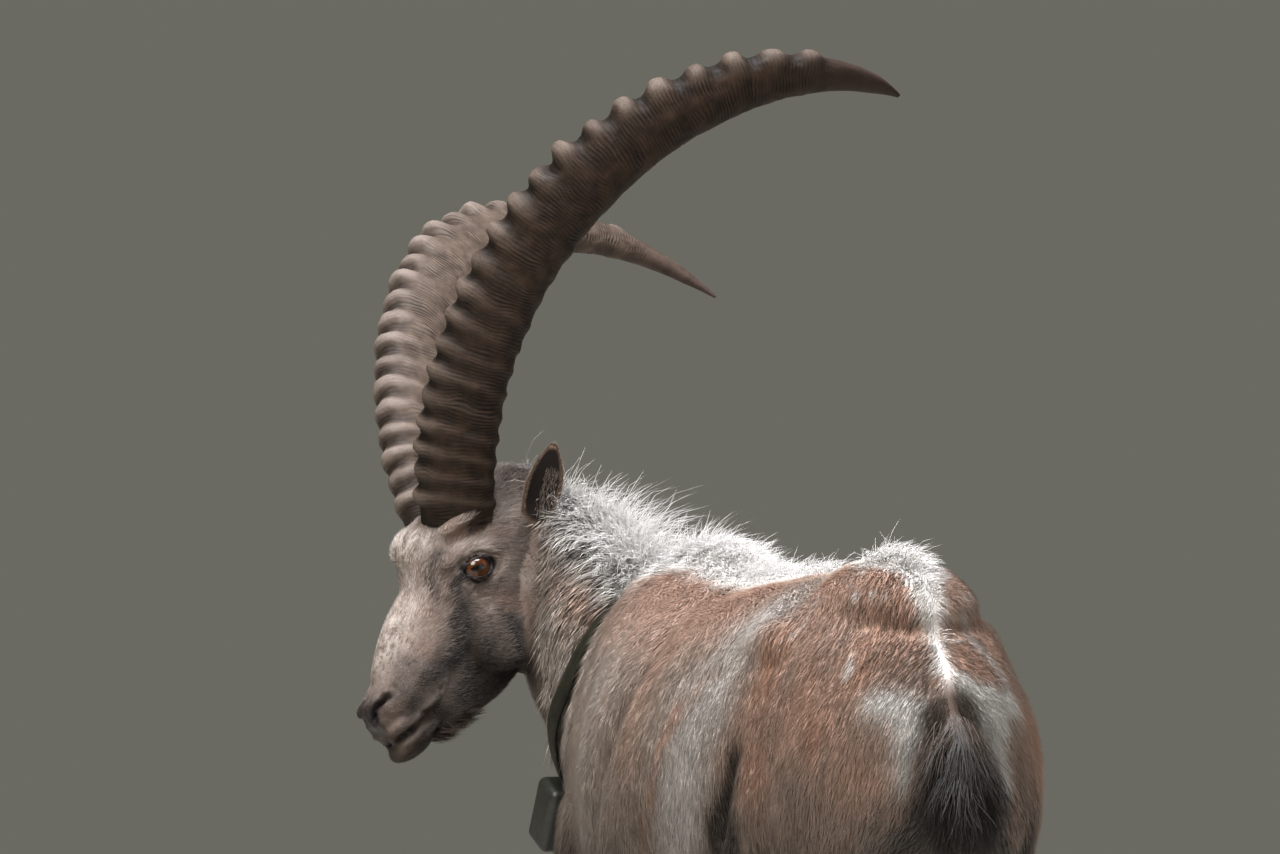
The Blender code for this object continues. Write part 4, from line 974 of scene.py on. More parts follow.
def unwrapped(points, kind):
    """A place on a flat map of the skin for each root: length along the region's axis and turn about it."""
    if kind == "head":
        at = moved(points, HEAD_BACK)
        flat = np.stack([at[:, 0] * 2.6, np.arctan2(at[:, 1], at[:, 2] + 0.03) / (2 * math.pi)], 1)
    elif kind == "legs":
        island = (points[:, 0] > 0) * 2 + (points[:, 1] > 0)
        foot = np.where((points[:, 0] > 0)[:, None], FORE_FOOT, HIND_FOOT) * np.stack(
            [np.ones(len(points)), np.sign(points[:, 1])], 1
        )
        turn = np.arctan2(points[:, 1] - foot[:, 1], points[:, 0] - foot[:, 0]) / (2 * math.pi) + 0.5
        flat = np.stack([(island + 0.04 + 0.9 * turn) / 4, points[:, 2] * 1.8], 1)
    elif kind == "neck":
        middle = np.stack([crest_side(points[:, 0]), 0.72 + 0.6 * (points[:, 0] - 0.40)], 1)
        turn = np.arctan2(points[:, 1] - middle[:, 0], points[:, 2] - middle[:, 1]) / (2 * math.pi)
        flat = np.stack([(points - NECK_PLACE) @ NECK_WAY * 1.8, turn], 1)
    else:
        turn = np.arctan2(points[:, 1], points[:, 2] - 0.67) / (2 * math.pi)
        flat = np.stack([points[:, 0] * 0.95, turn], 1)
    low, high = flat.min(0), flat.max(0)
    return 0.01 + 0.975 * (flat - low) / np.maximum(high - low, 1e-6)


def triangles_of(mesh):
    mesh.calc_loop_triangles()
    flat = np.empty(len(mesh.loop_triangles) * 3, np.int32)
    mesh.loop_triangles.foreach_get("vertices", flat)
    return flat.reshape(-1, 3)


def hair_way(points, normals):
    """The way the coat lies at each place."""
    side = np.sign(points[:, 1])
    x, z = points[:, 0], points[:, 2]
    neck, head, leg = neck_share(points)[:, None], head_share(points)[:, None], leg_share(points)[:, None]
    zero = np.zeros(len(points))
    flank = np.stack([zero - 0.45, 0.25 * side, zero - 0.80], 1)
    back = np.stack([zero - 0.90, 0.40 * side, zero - 0.30], 1)
    rump = np.stack([zero - 0.30, 0.50 * side, zero - 0.80], 1)
    high = ease(0.80, 0.87, z)[:, None]
    rear = ease(-0.30, -0.44, x)[:, None]
    way = flank * (1 - high) + back * high
    way = way * (1 - rear) + (rump * (1 - 0.6 * high) + back * 0.6 * high) * rear
    way = way * (1 - neck) + np.stack([zero - 0.02, zero + 0.42, zero - 0.90], 1) * neck
    way = way * (1 - leg) + np.array((-0.15, 0, -1.0)) * leg
    at = moved(points, HEAD_BACK)
    face = np.stack([zero - 0.9, 0.30 * np.sign(at[:, 1]), zero - 0.50], 1)
    top = ease(-0.01, 0.03, at[:, 2] + 0.5 * at[:, 0])[:, None]
    face = face * (1 - top) + np.stack([zero - 0.85, 0.35 * np.sign(at[:, 1]), zero + 0.30], 1) * top
    way = way * (1 - head) + turned(face, HEAD) * head
    swirl = np.stack([cloud(points, 0.05, 51), cloud(points, 0.05, 52), cloud(points, 0.05, 53)], 1)
    way = unit(way) + 0.22 * swirl
    return unit(way - normals * np.einsum("ij,ij->i", way, normals)[:, None])


def tuft_sizes(points):
    """Tufts to a square metre, and their length and width."""
    head, neck, leg = head_share(points), neck_share(points), leg_share(points)
    at = moved(points, HEAD_BACK)
    muzzle = ease(0.06, 0.15, at[:, 0])
    many = 150000 - 60000 * neck
    many = many * (1 - leg) + 115000 * leg
    many = many * (1 - head) + (330000 + 250000 * muzzle) * head
    long = 0.0165 + 0.0190 * neck
    long = long * (1 - leg) + 0.0100 * leg
    long = long * (1 - head) + (0.0085 - 0.0050 * muzzle) * head
    wide = 0.00155 + 0.00025 * neck
    wide = wide * (1 - leg) + 0.0015 * leg
    wide = wide * (1 - head) + (0.0010 - 0.0003 * muzzle) * head
    return many, long, wide


# Collar's place on the neck and the way along the neck there
COLLAR_AT = Vector((0.475, 0.040, 0.735))
COLLAR_ALONG = Vector((0.87, 0.12, 0.45)).normalized()
BAND_WIDTH = 0.030
BAND_THICK = 0.004
BAND_BACK = 0.026


def band_set_back(ways):
    """How far the band's upper part lies back along the neck, for ways out from its middle."""
    return -BAND_BACK * ease(-0.5, 0.5, ways[:, 2])


def beside_collar(points):
    """How far along the neck each place is from the middle of the band."""
    along = np.array(COLLAR_ALONG)
    out = points - np.array(COLLAR_AT)
    beside = out @ along
    return beside - band_set_back(unit(out - beside[:, None] * along))


def bare_places(points):
    """True where no tuft grows: nose leather, lids, lips, eyes and under the hooves, horns and band."""
    at = moved(points, HEAD_BACK)
    side = at * (1, 0, 1) + np.abs(at) * (0, 1, 0)
    on_head = head_share(points) > 0.5
    nose = distance_to(side, ((0.184, 0.0, -0.050), (0.184, 0.006, -0.072))) < 0.012
    nostril = distance_to(side, NOSTRIL) < 0.0065
    mouth = distance_to(side, MOUTH_LINE) < 0.0032
    lids = (lid_distance(side) < 1.50) & (side[:, 1] > FACE_SIDE)
    horn = (np.hypot((side[:, 0] + 0.026) / 0.036, (side[:, 1] - 0.036) / 0.025) < 1) & (side[:, 2] > 0.04)
    bare = on_head & (nose | nostril | mouth | lids | horn)
    return bare | (points[:, 2] < HOOF_TOP) | ((np.abs(beside_collar(points)) < 0.40 * BAND_WIDTH) & ~on_head)


HOOF_TOP = 0.043


def places_on(mesh, many_at, draw):
    """Even random places on a mesh, many_at giving how many to a square metre, with the way the surface faces."""
    corners = triangles_of(mesh)
    points, normals = coordinates(mesh), normals_of(mesh)
    a, b, c = (points[corners[:, n]] for n in range(3))
    area = np.linalg.norm(np.cross(b - a, c - a), axis=1) / 2
    running = np.cumsum(area * many_at((a + b + c) / 3))
    count = int(running[-1])
    picks = np.searchsorted(running, (np.arange(count) + draw.random(count)) * running[-1] / count)
    picks = np.minimum(picks, len(corners) - 1)
    first, second = draw.random(count), draw.random(count)
    over = first + second > 1
    first, second = np.where(over, 1 - first, first), np.where(over, 1 - second, second)
    shares = np.stack([1 - first - second, first, second], 1)
    roots = np.einsum("ij,ijk->ik", shares, points[corners[picks]])
    return roots, unit(np.einsum("ij,ijk->ik", shares, normals[corners[picks]]))


def grow_coat(skin, density, seed):
    """Seeded tufts over the whole skin, as pieces by region."""
    draw = np.random.default_rng(seed)
    roots, faces_up = places_on(skin.data, lambda points: tuft_sizes(points)[0] * density, draw)
    kept = ~bare_places(roots)
    roots, faces_up = roots[kept], faces_up[kept]
    count = len(roots)
    _, long, wide = tuft_sizes(roots)
    head, neck = head_share(roots), neck_share(roots)
    depth = coat_depth(roots)
    # Clumps: tufts of one cell lean together and share their tone
    room = np.where(head > 0.5, 0.006, np.where(neck > 0.5, 0.016, 0.010))[:, None]
    jittered = roots + 0.35 * room * np.stack([cloud(roots, 0.02, 61 + n) for n in range(3)], 1)
    cell = np.floor(jittered / room).astype(np.int64)
    clump_tone = hashed(cell)
    middle = (cell + 0.5) * room
    way = hair_way(roots, faces_up)
    pull = middle + way * long[:, None] * 1.1 - (roots + way * long[:, None])
    lean = 0.16 + 0.40 * (neck * (1 - head))
    way = way + lean[:, None] * pull / long[:, None] + draw.normal(0, 0.13, (count, 3))
    way = unit(way - faces_up * np.einsum("ij,ij->i", way, faces_up)[:, None])
    long = long * draw.uniform(0.75, 1.25, count) * (0.85 + 0.3 * clump_tone)
    wide = wide * draw.uniform(0.8, 1.2, count)
    by_band = np.clip((np.abs(beside_collar(roots)) - 0.5 * BAND_WIDTH) / 0.02, 0, 1) + head
    high = depth * draw.uniform(0.70, 1.02, count) * (0.80 + 0.25 * clump_tone) * np.minimum(0.35 + 0.65 * by_band, 1)
    side = np.cross(faces_up, way)
    curl = draw.normal(0, 0.10, count)
    spine = np.empty((count, 3, 3))
    for k, share in enumerate((0.0, 0.5, 1.0)):
        rise = high * (1 - (1 - share) ** 1.6) - TUFT_ROOT * (1 - share)
        spine[:, k] = roots + way * (long * share)[:, None] + faces_up * rise[:, None]
        spine[:, k] += side * (long * curl * share**2)[:, None]
    widths = np.stack([wide, wide], 1)
    colours = markings_and_shade(roots)
    tones = 0.5 + 0.22 * (clump_tone - 0.5) + draw.normal(0, 0.12, count)
    on_neck = 0.55 * neck * (1 - head) * streaks(roots, NECK_FLOW, 0.100, 0.0070, 71)
    tones += on_neck + 0.40 * head * cloud(roots, 0.0045, 72)
    tones += 0.32 * (1 - neck) * streaks(roots * (1, 0, 1) + np.abs(roots) * (0, 1, 0), FLANK_FLOW, 0.034, 0.006, 73)
    tones = np.clip(tones, 0, 1)
    kinds = np.full(count, 3)
    kinds[leg_share(roots) > 0.5] = 2
    kinds[(neck > 0.5) & (kinds == 3)] = 1
    kinds[head > 0.5] = 0
    made = []
    for kind, name in enumerate(("head", "neck", "legs", "trunk")):
        group = np.flatnonzero(kinds == kind)
        if not len(group):
            continue
        places = unwrapped(roots[group], name)
        order = np.argsort(roots[group, 0], kind="stable")
        # Long hair of the neck bends; short hair is straight
        stops, a_piece = ([0, 1, 2], BENT_A_PIECE) if name == "neck" else ([0, 2], STRAIGHT_A_PIECE)
        parts = max(1, math.ceil(len(group) / a_piece))
        for n, part in enumerate(np.array_split(order, parts)):
            own = group[part]
            label = f"coat_{name}_{n + 1}"
            item = strand_mesh(
                label, spine[own][:, stops], side[own], faces_up[own], widths[own][:, stops[:-1]], 0.30,
                colours[own], tones[own], places[part],
            )
            made.append((name, item))
    return made


# Tufts to a piece, which keep each piece under 200,000 triangles
BENT_A_PIECE = 19000
STRAIGHT_A_PIECE = 48000


def long_strands(name, roots, outs, lies, lengths, widths, draw, tones, colours, places, rings=3, droop=0.75):
    """Longer hairs that leave the skin along outs and bend over towards lies."""
    count = len(roots)
    outs, lies = unit(outs), unit(lies)
    across = unit(np.cross(outs, lies))
    curl = draw.normal(0, 0.13, count)
    wave = draw.uniform(0, 2 * math.pi, count)
    spine = np.empty((count, rings + 1, 3))
    girths = np.empty((count, rings))
    for k in range(rings + 1):
        share = k / rings
        along = outs * (share - 0.5 * share**2) + lies * droop * share**1.6
        bend = curl * share**2 + 0.035 * np.sin(wave + 5 * share)
        spine[:, k] = roots + (along + across * bend[:, None]) * lengths[:, None]
        if k < rings:
            girths[:, k] = widths * (1 - 0.45 * share)
    ups = unit(np.cross(lies, across) + outs)
    return strand_mesh(name, spine, across, ups, girths, 0.5, colours, tones, places)


# Horns: pitch and outward lean, in degrees, as cubics of the share of the length from root to tip
HORN_ROOT = (-0.0306, 0.0336, 0.0629)
HORN_LENGTH = 0.788
HORN_PITCH = (117.3, 99.6, 16.0, 1.2)
HORN_LEAN = (18.1, 45.3, -39.5, -50.8)
HORN_DEPTH = 0.0420
HORN_WIDTH = 0.0300
HORN_GIRTHS = ((0, 0.96), (0.1, 1.0), (0.5, 0.97), (0.7, 0.80), (0.85, 0.52), (0.95, 0.27), (1, 0.06))
HORN_KNOBS = 20
HORN_SMOOTH_TIP = 0.145
KNOB_RISE = 0.0110
# The right horn has grown a little longer, more curled and more spread than the left
RIGHT_LONGER = 1.030
RIGHT_CURL = 21.0
RIGHT_SPREAD = 14.9
RIGHT_WORN = 0.18


def horn_path(count, right):
    """Centres and headings along one horn, drawn as a left one, at even shares of its length."""
    share = (np.arange(count) + 0.5) / count
    powers = np.array([share**n for n in range(4)])
    pitch = np.radians(np.array(HORN_PITCH) @ powers + (RIGHT_CURL * share if right else 0.0))
    lean = np.radians(np.array(HORN_LEAN) @ powers + (RIGHT_SPREAD * share if right else 0.0))
    length = HORN_LENGTH * (RIGHT_LONGER if right else 1.0)
    step = np.stack([np.cos(pitch) * np.cos(lean), np.sin(lean), np.sin(pitch) * np.cos(lean)], 1)
    path = np.vstack([HORN_ROOT, np.array(HORN_ROOT) + np.cumsum(step, 0) * length / count])
    return path, np.vstack([step[:1], step])


def knob_shares():
    """Places of the knobs, close at the root and wider apart outwards."""
    gaps = np.linspace(0.72, 1.28, HORN_KNOBS)
    places = np.cumsum(gaps)
    return 0.035 + (1 - HORN_SMOOTH_TIP - 0.035) * (places - gaps[0] / 2) / places[-1]


HORN_BURIED = 0.020


def horn_mesh(name, right, rings, sides):
    """A keeled horn: rounded knobs in front, ridges that run on round the flanks, and fine growth rings."""
    seed = 72 if right else 71
    knobs = knob_shares()
    span = np.gradient(knobs)
    # The root goes on a little below the hair line
    knobs = np.append(knobs[0] - span[0] * 1.02, knobs)
    span = np.append(span[0], span)
    share = np.linspace(-HORN_BURIED, 1, rings)
    fine = 1200
    line, heading = horn_path(fine, right)
    spots = np.linspace(0, 1, fine + 1)
    path = np.stack([np.interp(share, spots, line[:, n]) for n in range(3)], 1)
    along = unit(np.stack([np.interp(share, spots, heading[:, n]) for n in range(3)], 1))
    path += along * np.minimum(share, 0)[:, None] * HORN_LENGTH
    reach = 0.03
    ahead = np.stack(
        [
            np.interp(share + reach, spots, heading[:, n]) - np.interp(share - reach, spots, heading[:, n])
            for n in range(3)
        ],
        1
    )
    front = unit(-(ahead - along * np.einsum("ij,ij->i", ahead, along)[:, None]))
    side = np.cross(along, front)
    size = np.interp(share, *zip(*HORN_GIRTHS))
    if right:
        size = size * (1 - RIGHT_WORN * np.clip((share - 0.55) / 0.25, 0, 1))
    angle = np.arange(sides) * 2 * math.pi / sides
    # Place of every point on the horn's own surface, for the noise that makes ridges waver
    flat_share = np.repeat(share, sides)
    flat_angle = np.tile(angle, rings)
    on_map = np.stack([flat_share * HORN_LENGTH, np.cos(flat_angle) * 0.04, np.sin(flat_angle) * 0.04], 1)

    def grain(size, offset):
        return cloud(on_map, size, seed + offset).reshape(rings, sides)

    wavy = 0.0024 * grain(0.030, 0) + 0.0012 * grain(0.011, 1)
    place = flat_share.reshape(rings, sides) + wavy / HORN_LENGTH
    facing = np.clip(np.cos(angle), 0, 1)
    # A knob is broad in front, and a ridge carries it on round the flank, bent back towards the root
    knob, ridge = np.zeros((rings, sides)), np.zeros((rings, sides))
    flank_back = 0.016 * (1 - np.cos(angle)) / 2
    for n, (at, room) in enumerate(zip(knobs, span)):
        vary = 1 + 0.22 * math.sin(n * 2.4 + seed)
        width = 0.30 + 0.03 * math.sin(n * 1.7)
        off = (place + flank_back[None] * (1 - 0.4 * at) - at) / room
        knob += vary * np.exp(-((np.abs(off) / width) ** 3.0))
        ridge += np.exp(-((off / 0.24) ** 2))
    low = 1 - np.clip(knob, 0, 1)
    outer = ease(0.18, 0.55, share)[:, None]
    boss = facing[None] ** (2.0 + 2.6 * outer)
    turns = place * HORN_LENGTH / 0.0040 * 2 * math.pi + 5.0 * grain(0.020, 3)
    ring_wave = 0.5 + 0.5 * np.sin(turns)
    fade = (1 - ease(1 - HORN_SMOOTH_TIP - 0.02, 1 - HORN_SMOOTH_TIP + 0.05, share))[:, None]
    rise = KNOB_RISE * (0.35 + 0.65 * size)[:, None] * (0.42 + 0.63 * outer)
    swell = rise * (1.0 * knob * boss - 0.20 * low * boss) * fade
    flank = 1 - 0.7 * boss
    flank_rise = (0.0006 + 0.0016 * (1 - outer)) * (ridge - 0.3) * flank * (0.4 + 0.6 * size[:, None])
    cut = (1 - ring_wave) ** 2 * (0.6 + 0.8 * np.clip(grain(0.016, 5), -0.6, 1))
    lines = -0.00075 * cut * (1 - 0.75 * np.clip(knob * boss, 0, 1)) * (0.25 + 0.75 * fade)
    lumps = 0.0007 * grain(0.010, 2) + 0.0005 * grain(0.004, 4)
    radial = swell + flank_rise * fade + lines + lumps * (0.3 + 0.7 * fade) * (0.5 + 0.5 * size[:, None])
    wide = HORN_WIDTH * size[:, None] * (0.90 - 0.16 * np.cos(angle))[None] / 0.90
    deep = HORN_DEPTH * size[:, None]
    # Boxy section: flat front between two blunt edges, rounder behind
    square = 0.86 + 0.14 * (np.cos(angle) < 0)
    out = np.sign(np.cos(angle)) * np.abs(np.cos(angle)) ** square * deep + radial * np.cos(angle)[None]
    across = np.sign(np.sin(angle)) * np.abs(np.sin(angle)) ** square * wide + radial * np.sin(angle)[None]
    points = path[:, None] + out[..., None] * front[:, None] + across[..., None] * side[:, None]
    if right:
        points = points * (1, -1, 1)
    item = mesh_object(name, points.reshape(-1, 3), ring_faces(rings, sides))
    item.data.transform(HEAD)
    outward(item)
    groove = np.clip(cut * 0.95 * flank + 0.75 * low * boss + 0.15 * (1 - ridge) * flank, 0, 1) * (0.30 + 0.70 * fade)
    crown = np.clip(knob * boss * fade + 0.12 * ridge * flank * (1 - outer), 0, 1)
    paint(item.data, "groove", groove.ravel())
    paint(item.data, "crown", crown.ravel())
    paint(item.data, "along", np.repeat(np.clip(share, 0, 1), sides))
    return item


def horn_material(name, deep_hex, mid_hex, pale_hex, dust_hex):
    """Keratin: weathered horn, dark in its grooves, dusty on its knobs, smooth and darker at the tip."""
    material, tree, shader, place = new_material(name, 0.62, 0.16)
    groove = attribute(tree, "groove").outputs["Fac"]
    crown = attribute(tree, "crown").outputs["Fac"]
    along = attribute(tree, "along").outputs["Fac"]
    mottled = noise(tree, place, 14.0, 5.0)
    scratched = noise(tree, place, 1.6, 4.0)
    body = mix(tree, ranged(tree, mottled, 0.34, 0.68), linear(mid_hex), linear(pale_hex))
    dusty = math_node(tree, "MULTIPLY", crown, ranged(tree, scratched, 0.25, 0.75, 0.35, 1.0))
    body = mix(tree, dusty, body, linear(dust_hex))
    body = mix(tree, math_node(tree, "MULTIPLY", ranged(tree, groove, 0.10, 0.85), 0.88), body, linear(deep_hex))
    tip = ranged(tree, along, 0.80, 0.95)
    body = mix(tree, math_node(tree, "MULTIPLY", tip, 0.65), body, linear("#3a2e2a"))
    tree.links.new(body, shader.inputs["Base Color"])
    rough = ranged(tree, scratched, 0.2, 0.8, 0.54, 0.74)
    tree.links.new(rough, shader.inputs["Roughness"])
    scratches, dents = math_node(tree, "MULTIPLY", scratched, 0.7), math_node(tree, "MULTIPLY", mottled, 0.6)
    height = math_node(tree, "ADD", scratches, dents)
    add_bump(tree, shader, height, 0.55, 0.8)
    return material


# Coat and skin materials

COAT = {
    "base": "#af9b8d", "cream": "#f2efec", "rufous": "#c19680", "grey": "#c6beb9", "dark": "#2d231b",
}
FACE_COAT = {
    "base": "#7e6c60", "cream": "#cbc0b6", "rufous": "#86624e", "grey": "#776c66", "dark": "#241c17",
}


def coat_colour(tree, place, palette):
    """The mixed colour of the markings and of the painted shade and highlight, the same for the hair and for the skin
    under it.
    """
    shares = attribute(tree, "markings_and_shade")
    parts = add_node(tree, "ShaderNodeSeparateColor", None, {"Color": shares.outputs["Color"]})
    lumps = noise(tree, place, 9.0, 4.0)
    colour = mix(tree, ranged(tree, lumps, 0.3, 0.7, 0.0, 0.35), linear(palette["base"]), linear(palette["grey"]))
    colour = mix(tree, parts.outputs["Blue"], colour, linear(palette["grey"]))
    colour = mix(tree, parts.outputs["Green"], colour, linear(palette["rufous"]))
    colour = mix(tree, parts.outputs["Red"], colour, linear(palette["cream"]))
    return mix(tree, shares.outputs["Alpha"], colour, linear(palette["dark"]))


def hair_material(name, palette, tip_hex, tip_share, root_share=0.80, rough=0.62):
    """Ibex guard hair: darker at the root, paler at the tip, each tuft its own shade."""
    material, tree, shader, place = new_material(name, rough, 0.28)
    colour = coat_colour(tree, place, palette)
    tone = attribute(tree, "tone").outputs["Fac"]
    along = attribute(tree, "along").outputs["Fac"]
    shade = ranged(tree, tone, 0.0, 1.0, 0.58, 1.34)
    root = ranged(tree, along, 0.0, 0.6, root_share, 1.0)
    both = math_node(tree, "MULTIPLY", shade, root)
    grey = add_node(tree, "ShaderNodeCombineColor", None, {"Red": both, "Green": both, "Blue": both})
    colour = mix(tree, 1.0, colour, grey.outputs["Color"], "MULTIPLY")
    tipped = math_node(tree, "MULTIPLY", ranged(tree, along, 0.45, 1.0, 0.0, tip_share), tone)
    colour = mix(tree, tipped, colour, linear(tip_hex))
    tree.links.new(colour, shader.inputs["Base Color"])
    shader.inputs["Sheen Weight"].default_value = 0.10
    shader.inputs["Sheen Roughness"].default_value = 0.5
    return material


def skin_material():
    """Goat hide under short hair: the coat's colours, darker, with bare black leather at nose, lips and lids."""
    material, tree, shader, place = new_material("goat_hide", 0.72, 0.25)
    colour = coat_colour(tree, place, COAT)
    face = attribute(tree, "face").outputs["Fac"]
    colour = mix(tree, face, colour, coat_colour(tree, place, FACE_COAT))
    fine = noise(tree, place, 1.2, 4.0)
    colour = mix(tree, ranged(tree, fine, 0.30, 0.75, 0.40, 0.08), colour, linear("#3b2f27"))
    leather = attribute(tree, "leather").outputs["Fac"]
    pores = noise(tree, place, 0.9, 3.0)
    hide = mix(tree, ranged(tree, pores, 0.35, 0.7), linear("#171314"), linear("#332c2e"))
    colour = mix(tree, leather, colour, hide)
    tree.links.new(colour, shader.inputs["Base Color"])
    tree.links.new(ranged(tree, leather, 0.0, 1.0, 0.78, 0.40), shader.inputs["Roughness"])
    add_bump(tree, shader, math_node(tree, "ADD", fine, pores), 0.6, 0.7)
    return material


def plain_material(name, hex_low, hex_high, size_mm, rough, depth_mm, specular=0.5):
    """One real material whose two shades run into each other in lumps of a real size."""
    material, tree, shader, place = new_material(name, rough, specular)
    lumps = noise(tree, place, size_mm, 4.0)
    colour = mix(tree, ranged(tree, lumps, 0.3, 0.7), linear(hex_low), linear(hex_high))
    tree.links.new(colour, shader.inputs["Base Color"])
    add_bump(tree, shader, lumps, depth_mm, 0.8)
    return material


def hoof_material():
    """Hoof horn: near black, mottled with worn grey, with level growth lines."""
    material, tree, shader, place = new_material("hoof_horn", 0.48, 0.4)
    lumps = noise(tree, place, 7.0, 4.0)
    lines = add_node(
        tree, "ShaderNodeTexWave",
        {"wave_type": "BANDS", "bands_direction": "Z"},
        {"Vector": place, "Scale": 140.0, "Distortion": 1.5, "Detail": 2.0},
    ).outputs["Fac"]
    colour = mix(tree, ranged(tree, lumps, 0.3, 0.72), linear("#1d1815"), linear("#4a4039"))
    tree.links.new(colour, shader.inputs["Base Color"])
    add_bump(tree, shader, math_node(tree, "ADD", lines, lumps), 0.35, 0.7)
    return material


def webbing_material():
    """Rubber-coated polyester webbing: matt, dark olive, with its weave showing through."""
    material, tree, shader, place = new_material("coated_webbing", 0.66, 0.18)
    weave = add_node(tree, "ShaderNodeTexVoronoi", {"feature": "SMOOTH_F1"}, {"Vector": place, "Scale": 620.0})
    lumps = noise(tree, place, 16.0, 4.0)
    colour = mix(tree, ranged(tree, lumps, 0.3, 0.7), linear("#12120d"), linear("#262519"))
    tree.links.new(colour, shader.inputs["Base Color"])
    add_bump(tree, shader, weave.outputs["Distance"], 0.35, 0.6)
    return material


# In the eye's own axes the first runs along the slit of the pupil, the second up the eye and the third out of it
PUPIL_TILT = LID_TILT
GAZE_FORWARD = math.radians(14.0)


def eye_matrix(side):
    out = Vector((math.sin(GAZE_FORWARD), side * math.cos(GAZE_FORWARD), 0.06)).normalized()
    along = Vector((math.cos(PUPIL_TILT), 0.0, math.sin(PUPIL_TILT)))
    along = (along - out * along.dot(out)).normalized()
    up = out.cross(along)
    turn = Matrix((along, up, out)).transposed().to_4x4()
    return Matrix.Translation((EYE_AT[0], EYE_AT[1] * side, EYE_AT[2])) @ turn


def eye_material(name, side):
    """Goat's eye: amber iris, level dark pupil, dark rim, under a wet cornea."""
    material, tree, shader, place = new_material(name, 0.12, 0.4)
    back = (TO_FRAME @ HEAD @ eye_matrix(side)).inverted()
    spot, turn, _ = back.decompose()
    angles = turn.to_euler("XYZ")
    inputs = {"Vector": place, "Location": spot, "Rotation": angles}
    local = add_node(tree, "ShaderNodeMapping", {"vector_type": "POINT"}, inputs).outputs["Vector"]
    parts = add_node(tree, "ShaderNodeSeparateXYZ", None, {"Vector": local})
    x, y = parts.outputs["X"], parts.outputs["Y"]
    square_x, square_y = math_node(tree, "MULTIPLY", x, x), math_node(tree, "MULTIPLY", y, y)
    radius = math_node(tree, "SQRT", math_node(tree, "ADD", square_x, square_y), 0.0)
    spokes = noise(tree, local, 1.1, 4.0)
    amber = mix(tree, ranged(tree, spokes, 0.30, 0.70), linear("#321909"), linear("#5e3216"))
    amber = mix(tree, ranged(tree, radius, 0.0035, 0.0085), linear("#2e190b"), amber)
    rim = ranged(tree, radius, 0.0102, 0.0122)
    colour = mix(tree, rim, amber, linear("#120c0a"))
    # The pupil is a rounded bar
    bar = math_node(tree, "POWER", math_node(tree, "ABSOLUTE", math_node(tree, "DIVIDE", x, 0.0078), 0.0), 4.0)
    bar_y = math_node(tree, "POWER", math_node(tree, "ABSOLUTE", math_node(tree, "DIVIDE", y, 0.0030), 0.0), 2.0)
    inside = ranged(tree, math_node(tree, "ADD", bar, bar_y), 0.75, 1.15, 1.0, 0.0)
    colour = mix(tree, inside, colour, linear("#060505"))
    tree.links.new(colour, shader.inputs["Base Color"])
    shader.inputs["Coat Weight"].default_value = 0.3
    shader.inputs["Coat Roughness"].default_value = 0.03
    return material


# Ears

EAR_ROOT = (-0.082, 0.050, -0.004)
EAR_ALONG = Vector((-0.42, 0.60, 0.58)).normalized()
EAR_OPEN = Vector((0.42, 0.86, -0.20))
# Tufts to a square metre of ear
EAR_TUFTS = 260000.0
# Along the ear: place, half width, half depth, how deep its cup is
EAR = (
    (-0.022, 0.012, 0.011, 0.0),
    (0.004, 0.014, 0.012, 0.10),
    (0.026, 0.0185, 0.012, 0.62),
    (0.052, 0.0200, 0.010, 0.72),
    (0.074, 0.0155, 0.0080, 0.66),
    (0.091, 0.0085, 0.0050, 0.45),
    (0.099, 0.0050, 0.0030, 0.10),
    (0.1015, 0.0016, 0.0012, 0.0),
)


def ear_matrix():
    opening = (EAR_OPEN - EAR_ALONG * EAR_OPEN.dot(EAR_ALONG)).normalized()
    side = opening.cross(EAR_ALONG)
    turn = Matrix((EAR_ALONG, side, opening)).transposed().to_4x4()
    return Matrix.Translation(EAR_ROOT) @ turn


def ear_mesh(name, right):
    """A leaf-shaped ear with an open cup and a rolled rim."""
    rings, inner_share = [], []
    half = 19
    for along, wide, deep, cup in spline(EAR, 6):
        turn = np.linspace(0, math.pi, half)
        outer = np.stack([wide * np.cos(turn), -deep * np.sin(turn)], 1)
        turn = turn[1:-1][::-1]
        inner = np.stack([wide * 0.88 * np.cos(turn), deep * (1 - 2 * cup * 0.92) * np.sin(turn)], 1)
        rings.append(np.insert(np.concatenate([outer, inner]), 0, along, axis=1))
        inner_share.append(np.append(np.zeros(half), np.sin(turn) * min(1.0, cup * 2)))
    item = loft(name, rings)
    smooth = item.modifiers.new("relax", "SMOOTH")
    smooth.factor = 0.4
    smooth.iterations = 2
    apply_modifiers(item)
    paint(item.data, "inside", np.concatenate(inner_share))
    place = HEAD @ Matrix.Diagonal((1, -1 if right else 1, 1, 1)) @ ear_matrix()
    item.data.transform(place)
    outward(item)
    return item, place


def ear_material():
    """Thin goat ear: short brown hair outside, bare black hide in the cup."""
    material, tree, shader, place = new_material("ear_hide", 0.75, 0.25)
    inside = attribute(tree, "inside").outputs["Fac"]
    lumps = noise(tree, place, 3.0, 4.0)
    outer = mix(tree, ranged(tree, lumps, 0.3, 0.7), linear("#4b3a30"), linear("#77614f"))
    colour = mix(tree, ranged(tree, inside, 0.15, 0.6), outer, linear("#1b1412"))
    tree.links.new(colour, shader.inputs["Base Color"])
    add_bump(tree, shader, noise(tree, place, 0.8, 3.0), 0.5, 0.7)
    return material


# Hooves

HOOF_WIDTH = 0.0255
HOOF_HEIGHT = 0.046
CLAW_SPREAD = 0.0155
